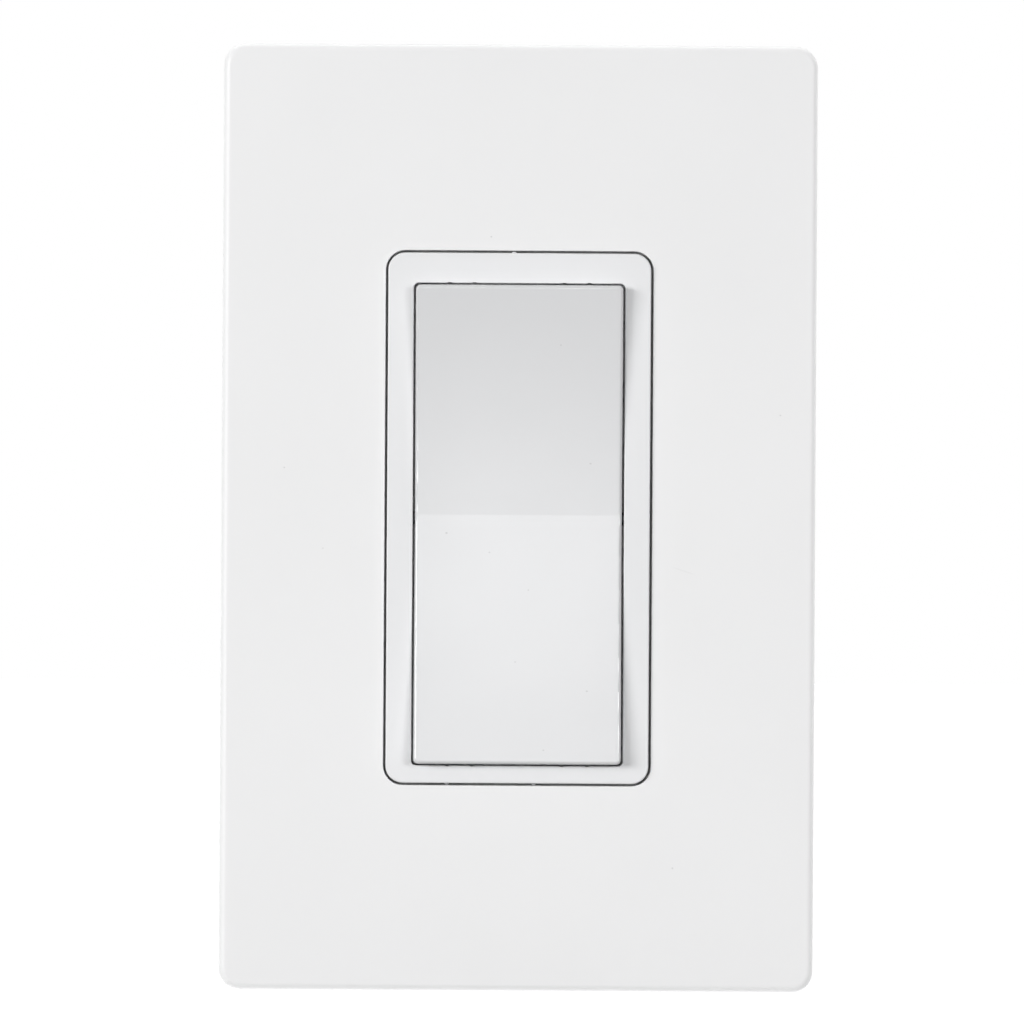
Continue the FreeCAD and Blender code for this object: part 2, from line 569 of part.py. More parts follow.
def make_rocker_paddle():
    body = new_body("rocker_paddle")
    side = new_sketch(body, "side", "0", "YZ_Plane")
    add_side_profile(side, [
        (SKIRT, f"-{ROCKER_BOTTOM}"),
        (f"{FRAME_FACE} + {ROCKER_BOTTOM} * {SLOPE}", f"-{ROCKER_BOTTOM}"),
        (FRAME_FACE, "-crease_width / 2"),
        (FRAME_FACE, "crease_width / 2"),
        (f"{FRAME_FACE} + {ROCKER_TOP} * {SLOPE}", ROCKER_TOP),
        (SKIRT, ROCKER_TOP)], {1: "half_sag", 3: "half_sag"})
    pad(body, side, ROCKER_WIDTH, True)
    half = f"{ROCKER_WIDTH} / 2"
    round_edges(body, "corners", "rocker_corner", lambda edge: deep_edge(edge, half, None, SKIRT))
    round_edges(body, "front_edge", "rocker_edge", lambda edge: face_side(edge, half))
    wall_across = f"{ROCKER_WIDTH} - 2 * rocker_wall"
    for name, sign, end in (("upper_hollow", "", ROCKER_TOP), ("lower_hollow", "-", ROCKER_BOTTOM)):
        near_rib, far_end = "(pivot_rib / 2)", f"({end} - rocker_wall)"
        hollow = new_sketch(body, name, "0", "YZ_Plane")
        add_side_profile(hollow, [
            (f"{SKIRT} - {OVERSHOOT}", f"{sign}{near_rib}"),
            (f"{FRAME_FACE} - rocker_wall + {near_rib} * {SLOPE}", f"{sign}{near_rib}"),
            (f"{FRAME_FACE} - rocker_wall + {far_end} * {SLOPE}", f"{sign}{far_end}"),
            (f"{SKIRT} - {OVERSHOOT}", f"{sign}{far_end}")])
        pocket(body, hollow, wall_across, True)
    rib = new_sketch(body, "pivot_rib", "0", "YZ_Plane")
    rib_back = f"{PIVOT} - rod_diameter / 2 - rod_running_fit - pivot_web"
    in_wall = f"{FRAME_FACE} - rocker_wall / 2"
    add_side_profile(rib, [
        (rib_back, "-pivot_rib / 4"), (PIVOT, "-pivot_rib / 2"), (in_wall, "-pivot_rib / 2"),
        (in_wall, "pivot_rib / 2"), (PIVOT, "pivot_rib / 2"), (rib_back, "pivot_rib / 4")])
    pad(body, rib, ROCKER_WIDTH, True)
    tails = new_sketch(body, "tails", TAIL_END)
    for up in both("stem_up"):
        add_rectangle(tails, "tail_size", "tail_size", "0", up)
    pad(body, tails, f"{FRAME_FACE} + stem_up * {SLOPE} - rocker_wall / 2 - {TAIL_END}")
    for name, diameter, depth in (
            ("spring_seats", "spring_diameter + spring_wire + 2 * seat_margin", SPRING_SEAT),
            ("spring_spigots", SPIGOT, f"({SPRING_SEAT} - spigot_height)")):
        seats = new_sketch(body, name, depth)
        for up in both("spring_up"):
            add_circle(seats, diameter, "0", up)
        pad(body, seats, f"{FRAME_FACE} + spring_up * {SLOPE} - rocker_wall / 2 - {depth}")
    bore = new_sketch(body, "pivot_bore", "0", "YZ_Plane")
    add_circle(bore, "rod_diameter + 2 * rod_running_fit", f"-{PIVOT}", "0")
    pocket(body, bore, f"{ROCKER_WIDTH} + {OVERSHOOT}", True)
    return body


def make_rear_case():
    body = new_body("rear_case")
    outside = new_sketch(body, "outside", "bracket_thick")
    add_rectangle(outside, MODULE_WIDTH, MODULE_HEIGHT)
    pad(body, outside, f"{PARTING} - bracket_thick")
    round_edges(body, "corners", "flange_corner", lambda edge: deep_edge(edge, f"{MODULE_WIDTH} / 2"))
    hollow = new_sketch(body, "hollow", f"{PARTING} + {OVERSHOOT}")
    add_rectangle(hollow, f"{MODULE_WIDTH} - 2 * case_wall", f"{MODULE_HEIGHT} - 2 * case_wall")
    pocket(body, hollow, f"{PARTING} + {OVERSHOOT} - {CASE_FLOOR}")
    posts = new_sketch(body, "screw_posts", "bracket_thick + case_floor / 2")
    for across in both(POST_ACROSS):
        for up in both(POST_UP):
            add_circle(posts, "post_diameter", across, up)
    pad(body, posts, f"{PARTING} - bracket_thick - case_floor / 2")
    rests = new_sketch(body, "board_rests", "bracket_thick + case_floor / 2")
    for across in both(REST_ACROSS):
        for up in both(REST_UP):
            add_circle(rests, "rest_diameter", across, up)
    pad(body, rests, f"{BOARD_BACK} - bracket_thick - case_floor / 2")
    ears = new_sketch(body, "ears", EAR_BACK)
    inner = f"({MODULE_WIDTH} / 2 - case_wall / 2)"
    outer = f"({EAR_ACROSS} + ear_reach)"
    for side in both("1"):
        add_rectangle(ears, f"{outer} - {inner}", "ear_width", f"{side} * ({outer} + {inner}) / 2")
    pad(body, ears, "ear_thick")
    round_edges(body, "ear_ends", "ear_round", lambda edge: deep_edge(edge, outer, "ear_width / 2"))
    screw_holes = new_sketch(body, "post_holes", f"{PARTING} + {OVERSHOOT}")
    for across in both(POST_ACROSS):
        for up in both(POST_UP):
            add_circle(screw_holes, "case_screw + 2 * screw_fit", across, up)
    pocket(body, screw_holes, f"{OVERSHOOT} + case_screw_length")
    ear_holes = new_sketch(body, "ear_holes", f"{EAR_BACK} + ear_thick + {OVERSHOOT}")
    for across in both(EAR_ACROSS):
        add_circle(ear_holes, "module_screw + 2 * screw_pass", across)
    pocket(body, ear_holes, f"ear_thick + 2 * {OVERSHOOT}")
    openings = new_sketch(body, "floor_openings", CASE_FLOOR)
    add_circle(openings, "battery_window", "0", "cell_up")
    add_circle(openings, "pair_button + 2 * pair_fit", "pair_across", "pair_up")
    pocket(body, openings, f"case_floor + {OVERSHOOT}")
    return body


def make_wall_bracket():
    body = new_body("wall_bracket")
    half_width = f"({RIM_INSIDE_ACROSS} - bracket_gap)"
    half_height = f"({RIM_INSIDE_UP} - bracket_gap)"
    plate = new_sketch(body, "plate", "0")
    add_rectangle(plate, f"2 * {half_width}", f"2 * {half_height}")
    pad(body, plate, "bracket_thick")
    round_edges(body, "corners", "bracket_corner", lambda edge: deep_edge(edge, half_width, half_height))
    bosses = new_sketch(body, "bosses", "bracket_thick / 2")
    for across in both(EAR_ACROSS):
        add_circle(bosses, "boss_diameter", across)
    pad(body, bosses, "bracket_thick / 2 + boss_height")
    boss_holes = new_sketch(body, "boss_holes", EAR_BACK)
    for across in both(EAR_ACROSS):
        add_circle(boss_holes, "module_screw + 2 * screw_fit", across)
    pocket(body, boss_holes, f"{EAR_BACK} - boss_floor")
    recesses = new_sketch(body, "pad_recesses", "pad_thick")
    for up in both("pad_up"):
        add_rectangle(recesses, "pad_width + 2 * pad_gap", "pad_height + 2 * pad_gap", "0", up)
    pocket(body, recesses, f"pad_thick + {OVERSHOOT}")
    slots = new_sketch(body, "slots", f"bracket_thick + {OVERSHOOT}")
    for up in both("slot_spacing / 2"):
        add_slot(slots, "slot_width", "slot_length", up)
    pocket(body, slots, f"bracket_thick + 2 * {OVERSHOOT}")
    levels = new_sketch(body, "level_notches", f"bracket_thick + {OVERSHOOT}")
    for side in both("1"):
        edge_up, edge_across = f"{side} * {half_height}", f"{side} * {half_width}"
        add_outline(levels, [
            (f"{side} * level_notch", f"{edge_up} + {side} * level_notch"),
            (f"-{side} * level_notch", f"{edge_up} + {side} * level_notch"),
            ("0", f"{edge_up} - {side} * level_notch")])
        add_outline(levels, [
            (f"{edge_across} + {side} * level_notch", f"-{side} * level_notch"),
            (f"{edge_across} + {side} * level_notch", f"{side} * level_notch"),
            (f"{edge_across} - {side} * level_notch", "0")])
    pocket(body, levels, f"bracket_thick + 2 * {OVERSHOOT}")
    arrow = new_sketch(body, "arrow", "arrow_depth")
    arrow_tip = f"({half_height} - arrow_in)"
    add_outline(arrow, [
        ("0", arrow_tip),
        ("-arrow_width / 2", f"{arrow_tip} - arrow_height / 2"),
        ("-arrow_shaft / 2", f"{arrow_tip} - arrow_height / 2"),
        ("-arrow_shaft / 2", f"{arrow_tip} - arrow_height"),
        ("arrow_shaft / 2", f"{arrow_tip} - arrow_height"),
        ("arrow_shaft / 2", f"{arrow_tip} - arrow_height / 2"),
        ("arrow_width / 2", f"{arrow_tip} - arrow_height / 2")])
    pocket(body, arrow, f"arrow_depth + {OVERSHOOT}")
    marks = new_sketch(body, "ejector_marks", "ejector_depth")
    for across in both(f"{half_width} - ejector_in"):
        for up in ("0", *both(f"{half_height} - ejector_in")):
            add_circle(marks, "ejector_mark", across, up)
    pocket(body, marks, f"ejector_depth + {OVERSHOOT}")
    outer = f"({RIM_INSIDE_UP} - lug_gap)"
    tip = "bracket_thick + lug_height"
    for place, across in zip(("left", "right"), both("lug_across")):
        for end, sign in (("top", ""), ("bottom", "-")):
            lug = new_sketch(body, f"catch_{end}_{place}", across, "YZ_Plane")
            add_side_profile(lug, [
                ("bracket_thick / 2", f"{sign}({outer} - lug_thick)"),
                (tip, f"{sign}({outer} - lug_thick)"),
                (tip, f"{sign}{outer}"),
                (f"{tip} - barb_height / 2", f"{sign}({outer} + barb_reach)"),
                (BARB_BACK, f"{sign}({outer} + barb_reach)"),
                (BARB_BACK, f"{sign}{outer}"),
                ("bracket_thick / 2", f"{sign}{outer}")])
            pad(body, lug, "lug_width", True)
    return body


def place(thing, across="0", depth="0", up="0"):
    """Puts a simple solid at a place; its own +Z then points away from the wall."""
    thing.Placement = FreeCAD.Placement(FreeCAD.Vector(), FreeCAD.Rotation(FreeCAD.Vector(1, 0, 0), 90))
    bind(thing, {"Placement.Base.x": across, "Placement.Base.y": f"-({depth})", "Placement.Base.z": up})
    return thing


def cylinder(name, diameter, length, across="0", depth="0", up="0"):
    """A round solid that stands out from the given depth."""
    solid = doc.addObject("Part::Cylinder", name)
    bind(solid, {"Radius": f"({diameter}) / 2", "Height": length})
    return place(solid, across, depth, up)


def block(name, width, height, length, across="0", depth="0", up="0"):
    """A block centred at (across, up) that stands out from the given depth."""
    solid = doc.addObject("Part::Box", name)
    bind(solid, {"Length": width, "Width": height, "Height": length})
    return place(solid, f"{across} - ({width}) / 2", depth, f"{up} - ({height}) / 2")


def fuse(name, solids):
    joined = doc.addObject("Part::MultiFuse", name)
    joined.Shapes = solids
    joined.Refine = True
    return joined


def cut(name, base, tool):
    result = doc.addObject("Part::Cut", name)
    result.Base, result.Tool, result.Refine = base, tool, True
    return result


def soften(name, base, radius, wanted):
    """Rounds the edges of a simple solid that pass the test."""
    doc.recompute()
    result = doc.addObject("Part::Fillet", name)
    result.Base = base
    size = worth(radius)
    result.Edges = [(number, size, size) for number, edge in enumerate(base.Shape.Edges, 1) if wanted(edge)]
    return result


def group(label, solids):
    """Like pieces that share one node."""
    together = doc.addObject("Part::Compound", label)
    together.Links = solids
    together.Label = label
    return together


def labelled(thing, label):
    thing.Label = label
    return thing


def make_adhesive_pads():
    pads = []
    for number, up in enumerate(both("pad_up")):
        foam = block(f"foam{number}", "pad_width", "pad_height", "pad_thick", "0", "0", up)
        pads.append(soften(f"pad{number}", foam, "pad_thick", lambda edge: deep_edge(edge)))
    return group("adhesive_pads", pads)


def make_screw(name, kind, shank, length, across, seat, up):
    """A pan-head screw with a cross recess, its head seated at the given depth."""
    head, head_height, cross = f"{kind}_head", f"{kind}_head_height", f"{kind}_cross"
    top = cylinder(f"{name}_head", head, head_height, across, seat, up)
    doc.recompute()
    rounded = soften(f"{name}_pan", top, f"{kind}_head_round",
                     lambda edge: near(-edge.BoundBox.YMax, f"{seat} + {head_height}"))
    stem = cylinder(f"{name}_shank", shank, f"{length} + {head_height} / 2", across, f"{seat} - {length}", up)
    recess = [block(f"{name}_slot{turn}", width, height, f"{head_height} / 2 + {OVERSHOOT}", across,
                    f"{seat} + {head_height} / 2", up)
              for turn, (width, height) in enumerate(((f"{head} / 2", cross), (cross, f"{head} / 2")))]
    return cut(f"{name}_screw", fuse(f"{name}_blank", [rounded, stem]), fuse(f"{name}_cross", recess))


def make_case_screws():
    seat = f"({FLANGE_FRONT} - case_head_height)"
    length = "(case_screw_length + case_head_height - flange_thick)"
    places = [(across, up) for across in both(POST_ACROSS) for up in both(POST_UP)]
    return group("case_screws", [
        make_screw(f"case{number}", "case", "case_screw", length, across, seat, up)
        for number, (across, up) in enumerate(places)])


def make_module_screws():
    seat = f"({EAR_BACK} + ear_thick)"
    return group("module_screws", [
        make_screw(f"module{number}", "module", "module_screw", "module_screw_length", across, seat, "0")
        for number, across in enumerate(both(EAR_ACROSS))])


def make_pivot_rod():
    length = f"({FRAME_WIDTH} - 2 * rod_inset)"
    rod = doc.addObject("Part::Cylinder", "rod_blank")
    bind(rod, {"Radius": "rod_diameter / 2", "Height": length, "Placement.Base.x": f"-{length} / 2",
               "Placement.Base.y": f"-{PIVOT}"})
    rod.Placement.Rotation = FreeCAD.Rotation(FreeCAD.Vector(0, 1, 0), 90)
    doc.recompute()
    ends = doc.addObject("Part::Chamfer", "pivot_rod")
    ends.Base = rod
    bevel = worth("rod_bevel")
    ends.Edges = [(number, bevel, bevel) for number, edge in enumerate(rod.Shape.Edges, 1)
                  if edge.BoundBox.XLength < TOUCH]
    return labelled(ends, "pivot_rod")


def make_return_spring(label, up):
    """A coil between the tray and the rocker's seat, wound on its own centre line."""
    start = f"({TRAY_FRONT} + spring_slack + spring_wire / 2)"
    rise = f"({SPRING_SEAT} - {TRAY_FRONT} - 2 * spring_slack - spring_wire)"
    coil = doc.addObject("Part::Helix", f"{label}_line")
    bind(coil, {"Radius": "spring_diameter / 2", "Height": rise, "Pitch": f"{rise} / spring_turns"})
    place(coil, "0", start, up)
    section = doc.addObject("Part::Circle", f"{label}_section")
    bind(section, {"Radius": "spring_wire / 2", "Placement.Base.x": "spring_diameter / 2",
                   "Placement.Base.y": f"-{start}", "Placement.Base.z": up})
    spring = doc.addObject("Part::Sweep", label)
    spring.Sections, spring.Spine, spring.Solid, spring.Frenet = [section], (coil, ["Edge1"]), True, True
    return labelled(spring, label)


def make_circuit_board():
    body = new_body("circuit_board")
    sheet = new_sketch(body, "sheet", BOARD_BACK)
    add_rectangle(sheet, BOARD_WIDTH, BOARD_HEIGHT)
    pad(body, sheet, "board_thick")
    round_edges(body, "corners", "board_corner", lambda edge: deep_edge(edge))
    return body


def make_tact_switch(label, up):
    """The housing: hollow for the stem's foot, bored for the stem, with four solder legs."""
    shell = block(f"{label}_shell", "switch_size", "switch_size", "switch_height", "0", BOARD_FRONT, up)
    rounded = soften(f"{label}_case", shell, "switch_corner", lambda edge: deep_edge(edge))
    legs = [block(f"{label}_leg{number}", "2 * leg_reach", "leg_width", "leg_thick",
                  f"{side} * switch_size / 2", BOARD_FRONT, f"({up} + {row} * leg_spread / 2)")
            for number, (side, row) in enumerate((s, r) for s in (-1, 1) for r in (-1, 1))]
    chamber = cylinder(f"{label}_chamber", "stem_foot + 4 * stem_fit",
                       "switch_height - switch_cover - switch_floor",
                       "0", f"{BOARD_FRONT} + switch_floor", up)
    bore = cylinder(f"{label}_bore", "stem_diameter + 2 * stem_fit", f"switch_cover + 2 * {OVERSHOOT}",
                    "0", f"{SWITCH_FRONT} - switch_cover - {OVERSHOOT}", up)
    housing = fuse(f"{label}_body", [rounded, *legs])
    return labelled(cut(label, housing, fuse(f"{label}_room", [chamber, bore])), label)


def make_tact_stem(label, up):
    foot_front = f"({SWITCH_FRONT} - switch_cover - stem_fit)"
    foot_back = f"({foot_front} - stem_foot_thick)"
    foot = cylinder(f"{label}_foot", "stem_foot", "stem_foot_thick", "0", foot_back, up)
    stem = cylinder(f"{label}_shaft", "stem_diameter", f"{STEM_TOP} - {foot_front} + stem_foot_thick / 2",
                    "0", f"{foot_front} - stem_foot_thick / 2", up)
    rounded = soften(f"{label}_tip", stem, "stem_round",
                     lambda edge: near(-edge.BoundBox.YMax, STEM_TOP))
    return labelled(fuse(label, [rounded, foot]), label)


def make_battery_holder():
    frame = block("holder_frame", "holder_size", "holder_size", f"{BOARD_BACK} - {CELL_BACK} - holder_short",
                  "0", f"{CELL_BACK} + holder_short", "cell_up")
    rounded = soften("holder_rounded", frame, "holder_corner", lambda edge: deep_edge(edge))
    nest = cylinder("holder_nest", "cell_diameter + 2 * holder_fit", f"cell_thick + {OVERSHOOT}",
                    "0", f"{CELL_BACK} - {OVERSHOOT}", "cell_up")
    bore = cylinder("holder_bore", "holder_bore", f"holder_floor + 2 * {OVERSHOOT}",
                    "0", f"{CELL_FRONT} - {OVERSHOOT}", "cell_up")
    return labelled(cut("battery_holder", rounded, fuse("holder_room", [nest, bore])), "battery_holder")


def make_coin_cell():
    can = cylinder("cell_can", "cell_diameter", "cell_thick - cell_cap_height", "0", CELL_BACK, "cell_up")
    rounded = soften("cell_rounded", can, "cell_edge", lambda edge: edge.BoundBox.YLength < TOUCH)
    cap = cylinder("cell_cap", "cell_cap", "cell_thick / 2", "0", f"{CELL_FRONT} - cell_thick / 2", "cell_up")
    return labelled(fuse("coin_cell", [rounded, cap]), "coin_cell")


def make_strip(label, points, width, up):
    """A sheet strip bent along a line seen from above, in places across and depths from the wall."""
    body = new_body(label)
    line = new_sketch(body, "line", up, "XY_Plane")
    add_outline(line, [(across, f"-({depth})") for across, depth in points])
    pad(body, line, width, True)
    return body


def make_battery_contacts():
    riser = "(-holder_size / 2 - strip_gap)"
    positive = make_strip("battery_contact_positive", [
        (f"{riser} - strip_thick - strip_foot", BOARD_BACK),
        (f"{riser} - strip_thick - strip_foot", f"{BOARD_BACK} - strip_thick"),
        (f"{riser} - strip_thick", f"{BOARD_BACK} - strip_thick"),
        (f"{riser} - strip_thick", f"{CELL_BACK} - strip_thick"),
        ("strip_reach", f"{CELL_BACK} - strip_thick"),
        ("strip_reach", CELL_BACK),
        (riser, CELL_BACK),
        (riser, BOARD_BACK)], "strip_width", "cell_up")
    negative = make_strip("battery_contact_negative", [
        ("-arch_width", BOARD_BACK),
        ("-arch_width", f"{BOARD_BACK} - strip_thick"),
        ("-arch_crown - strip_thick", f"{BOARD_BACK} - strip_thick"),
        ("-arch_crown / 2 - strip_thick", CELL_FRONT),
        ("arch_crown / 2 + strip_thick", CELL_FRONT),
        ("arch_crown + strip_thick", f"{BOARD_BACK} - strip_thick"),
        ("arch_width", f"{BOARD_BACK} - strip_thick"),
        ("arch_width", BOARD_BACK),
        ("arch_crown", BOARD_BACK),
        ("arch_crown / 2", f"{CELL_FRONT} + strip_thick"),
        ("-arch_crown / 2", f"{CELL_FRONT} + strip_thick"),
        ("-arch_crown", BOARD_BACK)], "strip_width", "cell_up")
    return [positive, negative]


def make_shield_can():
    back, inside = f"({BOARD_BACK} - can_height)", "can_size - 2 * can_wall"
    outer = block("can_outside", "can_size", "can_size", "can_height", "0", back, CAN_UP)
    rounded = soften("can_rounded", outer, "can_corner", lambda edge: deep_edge(edge))
    inner = block("can_inside", inside, inside, "can_height", "0", f"{back} + can_wall", CAN_UP)
    return labelled(cut("shield_can", rounded, inner), "shield_can")


def make_radio_parts():
    inset, back = "(chip_size / 2 - chip_mark_inset)", f"({BOARD_BACK} - chip_height)"
    chip = block("chip_body", "chip_size", "chip_size", "chip_height", "0", back, CAN_UP)
    mark = cylinder("chip_dimple", "chip_mark", f"chip_mark_depth + {OVERSHOOT}", f"-{inset}",
                    f"{back} - {OVERSHOOT}", f"({CAN_UP} + {inset})")
    microcontroller = labelled(cut("microcontroller", chip, mark), "microcontroller")
    quartz = block("crystal_case", "crystal_width", "crystal_height", "crystal_thick", "crystal_across",
                   f"{BOARD_BACK} - crystal_thick", CAN_UP)
    crystal = labelled(soften("crystal", quartz, "crystal_corner", lambda edge: deep_edge(edge)), "crystal")
    end, strip = "(antenna_length / 2)", "antenna_strip"
    antenna = make_strip("antenna", [
        (f"-{end}", BOARD_BACK), (f"-{end}", f"{BOARD_BACK} - antenna_height"),
        (end, f"{BOARD_BACK} - antenna_height"), (end, f"{BOARD_BACK} - antenna_height + {strip}"),
        (f"-{end} + 4 * {strip}", f"{BOARD_BACK} - antenna_height + {strip}"),
        (f"-{end} + 4 * {strip}", BOARD_BACK), (f"-{end} + 3 * {strip}", BOARD_BACK),
        (f"-{end} + 3 * {strip}", f"{BOARD_BACK} - antenna_height + {strip}"),
        (f"-{end} + {strip}", f"{BOARD_BACK} - antenna_height + {strip}"),
        (f"-{end} + {strip}", BOARD_BACK)], "antenna_thick", ANTENNA_UP)
    chips = [block(f"part{column}_{row}", "part_width", "part_length", "part_height",
                   f"{column} * part_pitch", f"{BOARD_BACK} - part_height", f"part_up + {row} * part_rows")
             for column in (-3, -1, 1, 3) for row in (0, 1)]
    return [microcontroller, crystal, antenna, group("chip_parts", chips)]


def make_pairing_control():
    spot = {"across": "pair_across", "up": "pair_up"}
    case = block("pair_case", "pair_size", "pair_size", "pair_height", depth=PAIR_FRONT, **spot)
    bore_length = f"pair_stem_depth + stem_travel + pair_touch + {OVERSHOOT}"
    bore = cylinder("pair_bore", "pair_stem + 2 * stem_fit", bore_length,
                    depth=f"{PAIR_FRONT} - {OVERSHOOT}", **spot)
    switch = labelled(cut("pairing_switch", case, bore), "pairing_switch")
    stem = labelled(cylinder("pairing_stem", "pair_stem", "pair_stem_proud + pair_stem_depth",
                             depth=PAIR_STEM_END, **spot), "pairing_stem")
    cap_back = "(bracket_thick + pair_recess)"
    cap = cylinder("pair_cap", "pair_button", f"{PAIR_FLANGE_BACK} + pair_flange_thick / 2 - {cap_back}",
                   depth=cap_back, **spot)
    flange = cylinder("pair_rim", "pair_flange", "pair_flange_thick", depth=PAIR_FLANGE_BACK, **spot)
    pin = cylinder("pair_pin", "pair_stem", f"{PAIR_STEM_END} - pair_touch - {PAIR_FLANGE_BACK}",
                   depth=PAIR_FLANGE_BACK, **spot)
    return [switch, stem, labelled(fuse("pairing_button", [cap, flange, pin]), "pairing_button")]


def make_everything():
    pieces = [make_wall_plate(), make_bezel_frame(), make_rocker_paddle(), make_rear_case(),
              make_wall_bracket(), make_adhesive_pads(), make_case_screws(), make_module_screws(),
              make_pivot_rod(), make_circuit_board(), make_battery_holder(), make_coin_cell(),
              make_shield_can()]
    for place_name, up in zip(("upper", "lower"), both("spring_up")):
        pieces.append(make_return_spring(f"return_spring_{place_name}", up))
    for place_name, up in zip(("upper", "lower"), both("stem_up")):
        pieces.append(make_tact_switch(f"tact_switch_{place_name}", up))
        pieces.append(make_tact_stem(f"tact_stem_{place_name}", up))
    return pieces + make_battery_contacts() + make_radio_parts() + make_pairing_control()


def write_pieces(pieces):
    """Checks every object and every piece, then writes one file for each piece."""
    doc.recompute()
    failed = [thing.Name for thing in doc.Objects if {"Invalid", "Error"} & set(thing.State)]
    if failed:
        raise RuntimeError(f"failed objects: {failed}")
    for piece in pieces:
        if piece.Shape.isNull() or not piece.Shape.isValid() or not piece.Shape.Solids:
            raise RuntimeError(f"{piece.Label} has no valid solid")
    os.makedirs("parts", exist_ok=True)
    for piece in pieces:
        piece.Shape.exportStep(f"parts/{piece.Label}.step")
        print(f"{piece.Label}: {len(piece.Shape.Solids)} solid(s), {piece.Shape.Volume:.2f} mm3")


write_pieces(make_everything())
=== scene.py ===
"""Looks, light and camera for the wireless wall switch, laid out as an add-on and run as a script."""

import math

import bpy
from bpy.props import FloatProperty, FloatVectorProperty, PointerProperty
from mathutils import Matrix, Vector


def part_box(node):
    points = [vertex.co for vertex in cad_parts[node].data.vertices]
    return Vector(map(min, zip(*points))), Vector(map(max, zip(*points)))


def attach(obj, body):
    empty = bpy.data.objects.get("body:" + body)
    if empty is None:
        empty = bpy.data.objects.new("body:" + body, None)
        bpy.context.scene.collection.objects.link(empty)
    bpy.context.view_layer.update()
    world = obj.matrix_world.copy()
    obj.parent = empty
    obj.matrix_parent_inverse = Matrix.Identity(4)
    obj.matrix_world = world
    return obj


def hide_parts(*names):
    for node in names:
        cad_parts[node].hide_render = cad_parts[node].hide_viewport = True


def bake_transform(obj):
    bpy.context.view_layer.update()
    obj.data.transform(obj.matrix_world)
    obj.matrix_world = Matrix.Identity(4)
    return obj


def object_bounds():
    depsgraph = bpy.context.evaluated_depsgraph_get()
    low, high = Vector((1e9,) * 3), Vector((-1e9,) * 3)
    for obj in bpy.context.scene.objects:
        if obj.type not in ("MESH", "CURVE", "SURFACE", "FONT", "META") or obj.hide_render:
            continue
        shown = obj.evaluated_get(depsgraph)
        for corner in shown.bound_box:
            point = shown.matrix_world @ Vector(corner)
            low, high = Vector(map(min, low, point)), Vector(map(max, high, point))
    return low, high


bl_info = {
    "name": "Wireless wall switch",
    "version": (1, 0, 0),
    "blender": (4, 5, 0),
    "location": "View3D > Sidebar > Wall Switch",
    "description": "Finishes, small moulded details, light and camera for a battery wall switch",
    "category": "Object",
}

MM = 0.001
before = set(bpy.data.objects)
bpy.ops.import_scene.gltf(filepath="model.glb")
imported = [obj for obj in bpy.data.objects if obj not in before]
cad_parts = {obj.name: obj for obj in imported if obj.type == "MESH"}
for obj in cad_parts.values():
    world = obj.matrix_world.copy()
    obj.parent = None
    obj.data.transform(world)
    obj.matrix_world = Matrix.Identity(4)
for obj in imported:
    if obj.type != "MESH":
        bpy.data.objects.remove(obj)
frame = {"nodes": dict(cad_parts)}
nodes = frame["nodes"]
cad_low, cad_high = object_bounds()
plate_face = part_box("wall_plate")[0].y
frame_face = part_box("bezel_frame")[0].y
OUTWARD = (math.radians(90), 0, 0)  # turns a piece's own +Z away from the wall


# Node helpers for the materials

def clear_tree(owner):
    """The empty node tree of a world or a material."""
    owner.use_nodes = True
    owner.node_tree.nodes.clear()
    return owner.node_tree


